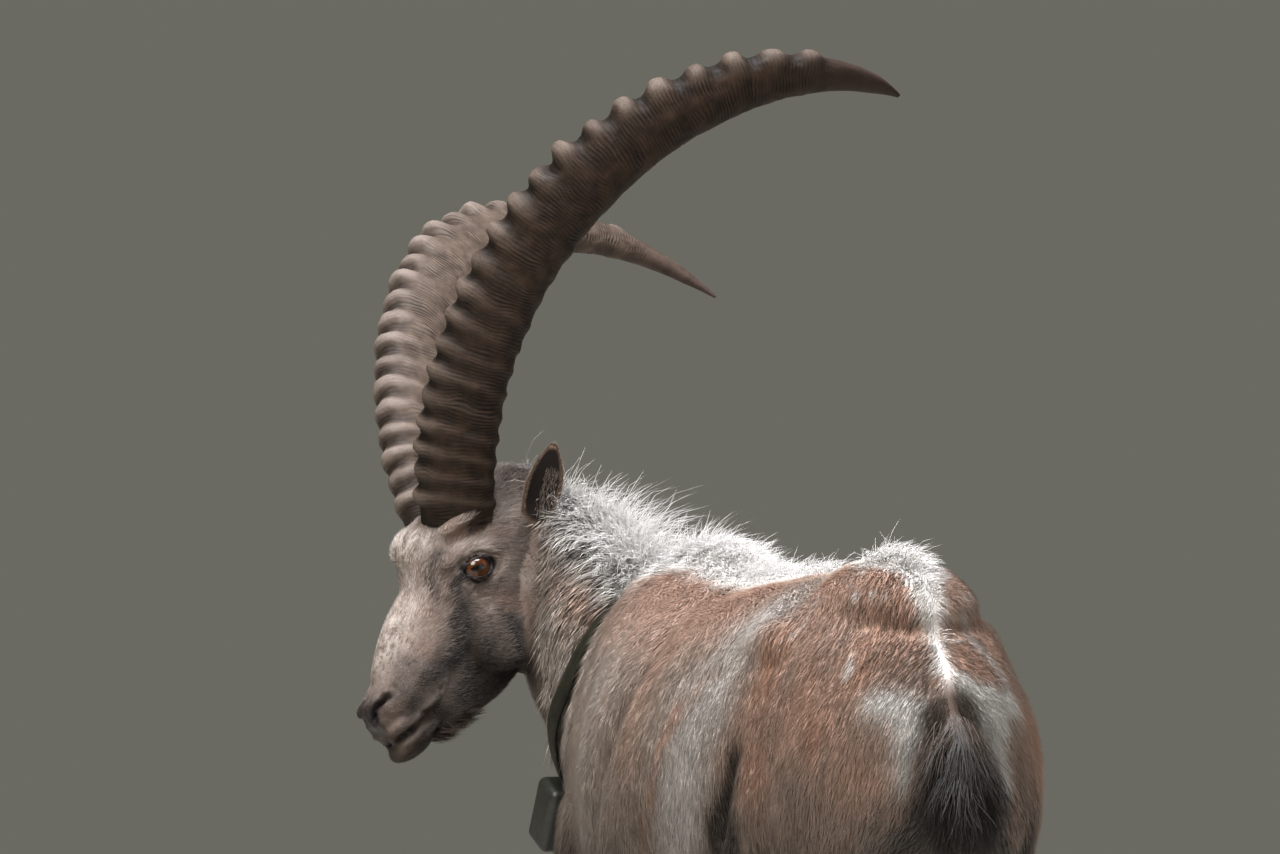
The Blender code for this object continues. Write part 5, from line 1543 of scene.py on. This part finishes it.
# Claw from sole to coronet: height, scale of the sole's outline, shift backwards
HOOF_RINGS = (
    (0.0, 0.985, 0.0), (0.0015, 1.02, 0.0), (0.004, 1.035, -0.001), (0.012, 1.01, -0.0035), (0.018, 0.985, -0.005),
    (0.024, 0.965, -0.007), (0.031, 0.93, -0.0095), (0.038, 0.905, -0.0122), (0.043, 0.885, -0.014),
    (HOOF_HEIGHT, 0.84, -0.015),
)


def claw_mesh(name, foot, side):
    """One of the two claws of a hoof: flat sole, sloping front wall, low heel."""
    turns = np.linspace(-math.pi / 2, math.pi / 2, 25)
    outline = [(0.028 * math.cos(t), HOOF_WIDTH / 2 * math.sin(t)) for t in turns]
    heel = [(-0.021 - 0.005 * math.cos(t), -HOOF_WIDTH * 0.42 * math.sin(t)) for t in np.linspace(-1.45, 1.45, 9)]
    outline = np.array(outline + heel)
    rings = []
    for up, scale, shift in HOOF_RINGS:
        ring = outline * scale + (shift + foot[0] + 0.022, foot[1] + side * CLAW_SPREAD)
        rings.append(np.insert(ring, 2, up, axis=1))
    return loft(name, rings)


# Collar

CASE_AT = Vector((0.545, 0.089, 0.612))
CASE_SIZE = (0.046, 0.060, 0.074)


def collar_turn():
    return COLLAR_ALONG.to_track_quat("X", "Z").to_matrix()


def band_mesh(name, form):
    """A flat ring that follows the neck's own surface, with rounded edges."""
    tree = tree_of(form)
    turn = collar_turn()
    along, first, second = (np.array(turn.col[n]) for n in range(3))
    count = 144
    angle = np.arange(count) * 2 * math.pi / count
    way = np.outer(np.cos(angle), first) + np.outer(np.sin(angle), second)
    half = BAND_WIDTH / 2
    radii = []
    back = band_set_back(way)
    for offset in (-half, 0.0, half):
        starts = [COLLAR_AT + Vector(along) * (offset + b) for b in back]
        found = [tree.ray_cast(start, Vector(w))[3] for start, w in zip(starts, way)]
        radii.append(np.array(found))
    radii = np.array(radii)
    for _ in range(3):
        radii = 0.5 * radii + 0.25 * (np.roll(radii, 1, 1) + np.roll(radii, -1, 1))
    rings = []
    low, high = 0.0003, 0.0003 + BAND_THICK
    edge = 0.0011
    outline = (
        (-half, low + edge), (-half, high - edge), (-half + edge, high), (-0.006, high), (0.006, high),
        (half - edge, high),
        (half, high - edge), (half, low + edge), (half - edge, low), (0.0, low), (-half + edge, low),
    )
    for n in range(count):
        spread = [float(np.interp(across, (-half, 0, half), radii[:, n])) + rise for across, rise in outline]
        rings.append([np.array(COLLAR_AT) + along * (a + back[n]) + way[n] * r for (a, _), r in zip(outline, spread)])
    sides = len(outline)
    rings = np.array(rings + [rings[0]])
    faces = ring_faces(count + 1, sides, capped=False)
    faces = [tuple(v % (count * sides) for v in f) for f in faces]
    item = mesh_object(name, rings[:-1].reshape(-1, 3), faces)
    outward(item)
    return item


# Operators: one for each group of pieces

SKIN = "skin"
SURFACE = "coat_surface"
FLESH_NODES = ("torso", "neck", "head", "tail", "foreleg_left", "foreleg_right", "hindleg_left", "hindleg_right")


def needed(name):
    """A piece that has to be there before the next one can be made."""
    item = bpy.data.objects.get(name)
    if item is None:
        raise RuntimeError(f"{name} has to be made first")
    return item


class IbexSettings(bpy.types.PropertyGroup):
    """What can be changed before the model is made."""

    seed: bpy.props.IntProperty(name="Seed", description="Start of all random draws", default=3, min=0)
    density: bpy.props.FloatProperty(
        name="Coat density", description="Share of the full number of tufts", default=1.0, min=0.05, max=1.0,
        subtype="FACTOR",
    )
    crest_hairs: bpy.props.IntProperty(name="Crest hairs", description="Strands in the crest", default=10500, min=10)
    crest_length: bpy.props.FloatProperty(
        name="Crest length", description="Longest strands, at the nape", default=0.098, unit="LENGTH"
    )
    tail_hairs: bpy.props.IntProperty(
        name="Tail hairs", description="Strands in the tail's brush", default=4600, min=10
    )
    tail_length: bpy.props.FloatProperty(
        name="Tail brush", description="Length of the tail's strands", default=0.070, unit="LENGTH"
    )
    beard_hairs: bpy.props.IntProperty(name="Beard hairs", description="Strands in the beard", default=620, min=10)
    beard_length: bpy.props.FloatProperty(
        name="Beard length", description="Length of the beard's strands", default=0.026, unit="LENGTH"
    )


class IBEX_OT_skin(bpy.types.Operator):
    """Makes the skin under the coat, with the folds of body and face"""

    bl_idname = "ibex.skin"
    bl_label = "Make skin"

    def execute(self, context):
        skin, form = shape_skin()
        points, normals = coordinates(form.data), normals_of(form.data)
        head = head_share(points)
        depth = coat_depth(points)
        at = moved(points, HEAD_BACK)
        relief = trunk_relief(points) + face_relief(at) * ease(0.3, 0.9, head)
        points = points + normals * (relief - depth)[:, None]
        opened = shape_eye_openings(moved(points, HEAD_BACK))
        shaped = moved(opened, HEAD)
        share = ease(0.5, 0.9, head)[:, None]
        points = points * (1 - share) + shaped * share
        points[:, 2] = np.maximum(points[:, 2], HOOF_TOP - 0.006)
        set_coordinates(skin.data, points)
        paint(skin.data, "markings_and_shade", markings_and_shade(points))
        paint(skin.data, "face", ease(0.15, 0.75, head))
        side = at * (1, 0, 1) + np.abs(at) * (0, 1, 0)
        nose = near(side, ((0.186, 0.0, -0.050), (0.186, 0.006, -0.072)), 0.012)
        leather = nose + near(side, NOSTRIL, 0.0065) + 0.9 * near(side, MOUTH_LINE, 0.0036)
        leather += (1 - ease(1.42, 1.72, lid_distance(side))) * (side[:, 1] > 0.028)
        paint(skin.data, "leather", np.clip(leather * (head > 0.5), 0, 1))
        finish_piece(skin, skin_material(), FLESH_NODES)
        return {"FINISHED"}


class IBEX_OT_coat(bpy.types.Operator):
    """Grows the tufts of the coat over the skin"""

    bl_idname = "ibex.coat"
    bl_label = "Grow coat"

    def execute(self, context):
        settings = context.scene.ibex
        skin = needed(SKIN)
        skin.data.transform(TO_FRAME.inverted())
        made = grow_coat(skin, settings.density, settings.seed)
        skin.data.transform(TO_FRAME)
        body_hair = hair_material("ibex_hair", COAT, "#d6ccc2", 0.50)
        face_hair = hair_material("face_hair", FACE_COAT, "#ddd3c8", 0.35, 0.85)
        for kind, item in made:
            finish_piece(item, face_hair if kind == "head" else body_hair)
        return {"FINISHED"}


# Crest of standing hair: place, spread to each side, length as a share of the longest
CREST = (
    (0.612, 0.024, 0.56), (0.540, 0.032, 0.86), (0.440, 0.040, 1.20), (0.360, 0.040, 0.70), (0.270, 0.038, 0.24),
    (0.120, 0.038, 0.36), (-0.060, 0.038, 0.40), (-0.150, 0.022, 0.26), (-0.185, 0.008, 0.10), (-0.260, 0.006, 0.10),
    (-0.285, 0.016, 0.34), (-0.350, 0.024, 0.42), (-0.410, 0.018, 0.26), (-0.440, 0.006, 0.10), (-0.480, 0.008, 0.16),
    (-0.510, 0.008, 0.12),
)


class IBEX_OT_crest(bpy.types.Operator):
    """Stands the white crest along neck, withers and rump"""

    bl_idname = "ibex.crest"
    bl_label = "Grow crest"

    def execute(self, context):
        settings = context.scene.ibex
        draw = np.random.default_rng(settings.seed + 1)
        form = needed(SURFACE)
        tree = tree_of(form)
        table = np.array(CREST)[::-1]
        steps = np.linspace(table[0, 0], table[-1, 0], 800)
        many = np.interp(steps, table[:, 0], table[:, 1] * (0.25 + table[:, 2]))
        running = np.cumsum(many)
        x = np.interp((np.arange(settings.crest_hairs) + 0.5) * running[-1] / settings.crest_hairs, running, steps)
        x += draw.normal(0, 0.004, len(x))
        across = np.clip(draw.normal(0, 0.52, len(x)), -1.25, 1.25)
        y = crest_side(x) + np.interp(x, table[:, 0], table[:, 1]) * across
        roots, ups, kept = [], [], []
        for n in range(len(x)):
            place, normal, _, _ = tree.ray_cast(Vector((x[n], y[n], 1.3)), Vector((0, 0, -1)))
            if place is not None and head_share(np.array([place]))[0] < 0.6:
                roots.append(np.array(place - normal * 0.007))
                ups.append(np.array(normal))
                kept.append(n)
        roots, ups, x, across = np.array(roots), np.array(ups), x[kept], across[kept]
        count = len(x)
        # Hairs near each other lean the same way
        sizes = (0.022, 0.018, 0.016)
        lean, other, long = (cloud(roots, size, settings.seed + n + 1) for n, size in enumerate(sizes))
        back = np.full(count, -0.45) + 0.35 * lean
        outs = np.stack([back, across * 0.55 + 0.40 * other, np.ones(count)], 1) + 0.3 * ups
        outs += draw.normal(0, 0.16, (count, 3))
        fall = 0.10 - 0.5 * np.abs(across) + 0.2 * lean
        lies = np.stack([np.full(count, -1.0), across * 0.50 + 0.45 * other, fall], 1)
        lies += draw.normal(0, 0.16, (count, 3))
        share = np.interp(x, table[:, 0], table[:, 2])
        # Most hairs are short; a few wisps stand out
        wisp = draw.random(count) ** 3
        lengths = settings.crest_length * share * (0.42 + 0.75 * wisp + 0.20 * long)
        lengths *= 1 - 0.25 * np.abs(across)
        lengths = lengths + 0.010
        widths = np.full(count, 0.0011) * draw.uniform(0.6, 1.2, count) * (1 - 0.35 * wisp)
        grey = 0.25 * np.clip(np.abs(across) - 0.6, 0, 1)
        colours = np.stack([np.ones(count), np.zeros(count), grey, np.zeros(count)], 1)
        tones = np.clip(draw.normal(0.55, 0.16, count), 0, 1)
        places = unwrapped(roots, "trunk")
        item = long_strands("crest", roots, outs, lies, lengths, widths, draw, tones, colours, places)
        white = {**COAT, "cream": "#f8f6f4"}
        finish_piece(item, hair_material("crest_hair", white, "#ffffff", 0.8, 0.9))
        return {"FINISHED"}


class IBEX_OT_tail(bpy.types.Operator):
    """Hangs the dark brush on the tail"""

    bl_idname = "ibex.tail"
    bl_label = "Grow tail brush"

    def execute(self, context):
        settings = context.scene.ibex
        draw = np.random.default_rng(settings.seed + 2)
        count = settings.tail_hairs
        share = draw.random(count)
        turn = draw.uniform(0, 2 * math.pi, count)
        core = spline([at for at, _, _ in TAIL], 8) + np.array(TAIL_ROOT)
        girth = spline([(wide, deep) for _, wide, deep in TAIL], 8)
        at = np.clip(8 + share * (len(core) - 10), 0, len(core) - 1)
        places = np.arange(len(core))
        middle = np.stack([np.interp(at, places, core[:, n]) for n in range(3)], 1)
        wide = np.interp(at, places, girth[:, 0])
        side, back = np.sin(turn), np.cos(turn)
        roots = middle + np.stack([-0.7 * wide * back, 0.8 * wide * side, 0.35 * wide * back], 1)
        outs = np.stack([-0.42 * np.abs(0.35 + 0.65 * back), 0.62 * side, np.full(count, -0.55)], 1)
        lies = np.stack([np.full(count, -0.02), 0.12 * side, np.full(count, -1.0)], 1)
        lock = np.floor(roots / 0.011).astype(np.int64)
        lean = np.stack([hashed(lock + n) - 0.5 for n in range(3)], 1)
        outs += 0.5 * lean + draw.normal(0, 0.12, (count, 3))
        lies += 0.4 * lean + draw.normal(0, 0.08, (count, 3))
        lengths = settings.tail_length * draw.uniform(0.55, 1.10, count) * ease(-0.15, 0.45, share)
        widths = np.full(count, 0.0012) * draw.uniform(0.7, 1.25, count)
        brown = ease(0.50, 0.20, share) * (0.35 + 0.65 * hashed(lock + 9)) * draw.uniform(0.3, 1.0, count)
        colours = np.stack([np.zeros(count), brown, np.zeros(count), 1 - 0.80 * brown], 1)
        tones = np.clip(draw.normal(0.4, 0.16, count), 0, 1)
        spots = 0.01 + 0.98 * np.stack([share, turn / (2 * math.pi)], 1)
        item = long_strands("tail_brush", roots, outs, lies, lengths, widths, draw, tones, colours, spots)
        palette = {**COAT, "rufous": "#65442f", "dark": "#1b140f"}
        finish_piece(item, hair_material("tail_hair", palette, "#4a3629", 0.10))
        return {"FINISHED"}


class IBEX_OT_beard(bpy.types.Operator):
    """Hangs the short dark beard behind the chin"""

    bl_idname = "ibex.beard"
    bl_label = "Grow beard"

    def execute(self, context):
        settings = context.scene.ibex
        draw = np.random.default_rng(settings.seed + 3)
        count = settings.beard_hairs
        share = draw.random(count)
        side = draw.uniform(-1, 1, count)
        roots = np.stack([0.140 - 0.050 * share, side * 0.014, -0.110 - 0.004 * np.cos(side * 1.5)], 1)
        lock = np.floor(roots / 0.008).astype(np.int64)
        lean = np.stack([hashed(lock + n) - 0.5 for n in range(3)], 1)
        outs = np.stack([np.full(count, -0.25), side * 0.15, np.full(count, -1.0)], 1) + 0.4 * lean
        lies = np.stack([np.full(count, -1.0), side * 0.12, np.full(count, -0.35)], 1) + 0.4 * lean
        outs += draw.normal(0, 0.10, (count, 3))
        lengths = settings.beard_length * draw.uniform(0.6, 1.1, count)
        widths = np.full(count, 0.0011) * draw.uniform(0.7, 1.2, count)
        colours = np.tile((0.0, 0.25, 0.0, 0.85), (count, 1))
        tones = np.clip(draw.normal(0.5, 0.18, count), 0, 1)
        spots = 0.01 + 0.98 * np.stack([share, side / 2 + 0.5], 1)
        item = long_strands("beard", roots, outs, lies, lengths, widths, draw, tones, colours, spots)
        item.data.transform(HEAD)
        finish_piece(item, hair_material("beard_hair", FACE_COAT, "#6d5747", 0.4))
        return {"FINISHED"}


class IBEX_OT_horns(bpy.types.Operator):
    """Makes both ringed horns"""

    bl_idname = "ibex.horns"
    bl_label = "Make horns"

    def execute(self, context):
        # One keratin in two copies: the near horn's is painted darker as painted shade, the far horn's paler as
        # painted light
        shaded_horn_finish = horn_material("horn_painted_shade", "#0a0705", "#231a13", "#3a2b20", "#675b52")
        lit_horn_finish = horn_material("horn_painted_light", "#17110d", "#463a32", "#63554a", "#80756e")
        for side, finish in (("left", shaded_horn_finish), ("right", lit_horn_finish)):
            item = horn_mesh(f"horn_{side}_ringed", side == "right", 620, 60)
            finish_piece(item, finish, (f"horn_{side}",))
        return {"FINISHED"}


class IBEX_OT_eyes(bpy.types.Operator):
    """Makes both eyes"""

    bl_idname = "ibex.eyes"
    bl_label = "Make eyes"

    def execute(self, context):
        for side, sign in (("left", 1), ("right", -1)):
            bpy.ops.mesh.primitive_uv_sphere_add(segments=64, ring_count=40, radius=EYE_RADIUS)
            item = context.active_object
            item.name = f"eyeball_{side}"
            # The cornea stands out a little from the ball
            points = coordinates(item.data)
            raised = 0.0009 * ease(0.0085, 0.0165, points[:, 2])
            set_coordinates(item.data, points + unit(points) * raised[:, None])
            item.data.transform(HEAD @ eye_matrix(sign))
            finish_piece(item, eye_material(f"eye_{side}_wet", sign), (f"eye_{side}",))
        return {"FINISHED"}


class IBEX_OT_ears(bpy.types.Operator):
    """Makes both ears with their short hair"""

    bl_idname = "ibex.ears"
    bl_label = "Make ears"

    def execute(self, context):
        settings = context.scene.ibex
        hide = ear_material()
        hair = hair_material("ear_hair", {**FACE_COAT, "base": "#6e594a", "cream": "#cfc4b6"}, "#a8937f", 0.4, 0.7)
        for n, side in enumerate(("left", "right")):
            draw = np.random.default_rng(settings.seed + 4 + n)
            item, place = ear_mesh(f"ear_{side}_leaf", side == "right")
            roots, ups = places_on(item.data, lambda points: np.full(len(points), EAR_TUFTS), draw)
            back = place.inverted()
            at = moved(roots, back)
            up_here = turned(ups, back)
            half_wide = np.interp(at[:, 0], *zip(*[row[:2] for row in EAR]))
            cup = (up_here[:, 2] > 0.25) & (np.abs(at[:, 1]) < 0.80 * half_wide)
            stripe = cup & (np.abs(at[:, 1] + 0.006) < 0.0075) & (at[:, 0] > 0.012) & (at[:, 0] < 0.066)
            wanted = (~cup | stripe) & (at[:, 0] > 0.0)
            roots, ups, at, cup = roots[wanted], ups[wanted], at[wanted], cup[wanted]
            count = len(roots)
            way = np.tile(np.array(place.to_3x3() @ Vector((1, 0, 0))), (count, 1)) + draw.normal(0, 0.16, (count, 3))
            way = unit(way - ups * np.einsum("ij,ij->i", way, ups)[:, None])
            long = np.where(cup, 0.0095, 0.0060) * draw.uniform(0.7, 1.3, count)
            high = np.where(cup, 0.0016, 0.0010)
            spine = np.stack(
                [
                    roots + way * (long * s)[:, None] + ups * (high * s - 0.0006 * (1 - s))[:, None]
                    for s in (0, 0.5, 1)
                ],
                1
            )
            widths = np.tile(np.where(cup, 0.00024, 0.0010)[:, None], (1, 2))
            rim = ease(0.6, 1.0, np.abs(at[:, 1]) / 0.022) * (at[:, 0] > 0.02)
            colours = np.stack([cup * 0.42 + 0.15 * rim, 0.1 * ~cup, 0 * rim, (0.35 * ~cup) * (1 - rim)], 1)
            tones = np.clip(draw.normal(0.5, 0.18, count), 0, 1)
            spots = 0.02 + 0.95 * np.stack([at[:, 0] / 0.11, np.arctan2(at[:, 1], -at[:, 2]) / 7 + 0.5], 1)
            tufts = strand_mesh(
                f"ear_hair_{side}", spine, np.cross(ups, way), ups, widths, 0.34, np.clip(colours, 0, 1), tones, spots
            )
            finish_piece(tufts, hair)
            finish_piece(item, hide, (f"ear_{side}",))
        return {"FINISHED"}


class IBEX_OT_hooves(bpy.types.Operator):
    """Makes the eight claws of the hooves"""

    bl_idname = "ibex.hooves"
    bl_label = "Make hooves"

    def execute(self, context):
        finish = hoof_material()
        for place, foot in (("fore", FORE_FOOT), ("hind", HIND_FOOT)):
            for side, sign in (("left", 1), ("right", -1)):
                for claw, offset in (("outer", sign), ("inner", -sign)):
                    name = f"hoof_{place}_{side}_{claw}"
                    item = claw_mesh(f"{name}_horn", (foot[0], foot[1] * sign), offset)
                    finish_piece(item, finish, (name,))
                    item.data.set_sharp_from_angle(angle=math.radians(50))
        return {"FINISHED"}


class IBEX_OT_collar(bpy.types.Operator):
    """Makes the tracking collar: a band round the neck and a case under the throat"""

    bl_idname = "ibex.collar"
    bl_label = "Make collar"

    def execute(self, context):
        band = band_mesh("collar_strap", needed(SURFACE))
        finish_piece(band, webbing_material(), ("collar_band",))
        bpy.ops.mesh.primitive_cube_add(size=1.0)
        case = context.active_object
        case.name = "collar_housing"
        case.data.transform(Matrix.Diagonal((*CASE_SIZE, 1.0)))
        bpy.ops.object.mode_set(mode="EDIT")
        bpy.ops.mesh.select_all(action="SELECT")
        bpy.ops.mesh.bevel(offset=0.009, segments=5)
        bpy.ops.object.mode_set(mode="OBJECT")
        case.data.transform(Matrix.Translation(CASE_AT) @ collar_turn().to_4x4())
        plastic = plain_material("glass_filled_nylon", "#1b1c18", "#2c2d27", 6.0, 0.45, 0.15)
        finish_piece(case, plastic, ("collar_case",))
        case.data.set_sharp_from_angle(angle=math.radians(40))
        return {"FINISHED"}


# Camera: away from the model, its heading and its height, with the lens that frames it as the photo does
CAMERA_AWAY = 13.0
CAMERA_HEADING = math.radians(-16.0)
CAMERA_HEIGHT = 1.024
CAMERA_SIDE = -0.1557
CAMERA_LENS = 356.9


def add_light(name, at, target, size, power, colour):
    bpy.ops.object.light_add(type="AREA", location=at)
    item = bpy.context.active_object
    item.name = name
    item.data.shape = "DISK"
    item.data.size = size
    item.data.energy = power
    item.data.color = linear(colour)[:3]
    item.rotation_euler = (Vector(target) - Vector(at)).to_track_quat("-Z", "Y").to_euler()
    return item


class IBEX_OT_stage(bpy.types.Operator):
    """Sets the pale floor, the soft light and the camera"""

    bl_idname = "ibex.stage"
    bl_label = "Set stage"

    def execute(self, context):
        scene = context.scene
        bpy.ops.mesh.primitive_circle_add(vertices=96, radius=13.0, fill_type="NGON")
        floor = context.active_object
        floor.name = "floor"
        floor.data.materials.append(plain_material("painted_floor", "#a9a69f", "#afaca5", 900.0, 0.8, 0.05, 0.2))
        world = bpy.data.worlds.new("studio")
        world.use_nodes = True
        backdrop = world.node_tree.nodes["Background"]
        backdrop.inputs["Color"].default_value = linear("#6b6a62")
        backdrop.inputs["Strength"].default_value = 1.0
        scene.world = world
        add_light("key", (-3.2, 3.2, 5.2), (0, 0, 0.8), 3.6, 400.0, "#fffaf4")
        add_light("fill", (-6.0, -3.0, 3.0), (0, 0, 0.8), 4.0, 26.0, "#f4f6ff")
        add_light("top", (-0.4, 0.2, 4.6), (0, 0, 0.8), 2.6, 400.0, "#f6f8ff")
        heading = Vector((math.cos(CAMERA_HEADING), math.sin(CAMERA_HEADING), 0.0))
        right = heading.cross(UP)
        at = TO_FRAME.translation + UP * CAMERA_HEIGHT - heading * CAMERA_AWAY + right * CAMERA_SIDE
        bpy.ops.object.camera_add(location=at)
        camera = context.active_object
        camera.rotation_euler = heading.to_track_quat("-Z", "Y").to_euler()
        camera.data.lens = CAMERA_LENS
        camera.data.clip_end = 200.0
        scene.camera = camera
        scene.view_settings.view_transform = "Standard"
        return {"FINISHED"}


class IBEX_PT_panel(bpy.types.Panel):
    """Buttons for each group of pieces"""

    bl_label = "Alpine Ibex"
    bl_space_type = "VIEW_3D"
    bl_region_type = "UI"
    bl_category = "Ibex"

    def draw(self, context):
        for name in IbexSettings.__annotations__:
            self.layout.prop(context.scene.ibex, name)
        for operator in OPERATORS:
            self.layout.operator(operator.bl_idname)


OPERATORS = (
    IBEX_OT_skin, IBEX_OT_coat, IBEX_OT_crest, IBEX_OT_tail, IBEX_OT_beard, IBEX_OT_horns,
    IBEX_OT_eyes, IBEX_OT_ears, IBEX_OT_hooves, IBEX_OT_collar, IBEX_OT_stage,
)
CLASSES = (IbexSettings, *OPERATORS, IBEX_PT_panel)


def register():
    for item in CLASSES:
        bpy.utils.register_class(item)
    bpy.types.Scene.ibex = bpy.props.PointerProperty(type=IbexSettings)


def unregister():
    del bpy.types.Scene.ibex
    for item in reversed(CLASSES):
        bpy.utils.unregister_class(item)


def main():
    register()
    bpy.ops.ibex.skin()
    bpy.ops.ibex.coat()
    bpy.ops.ibex.crest()
    bpy.ops.ibex.tail()
    bpy.ops.ibex.beard()
    bpy.ops.ibex.horns()
    bpy.ops.ibex.eyes()
    bpy.ops.ibex.ears()
    bpy.ops.ibex.hooves()
    bpy.ops.ibex.collar()
    bpy.ops.ibex.stage()
    bpy.data.objects.remove(needed(SURFACE))


if __name__ == "__main__":
    main()
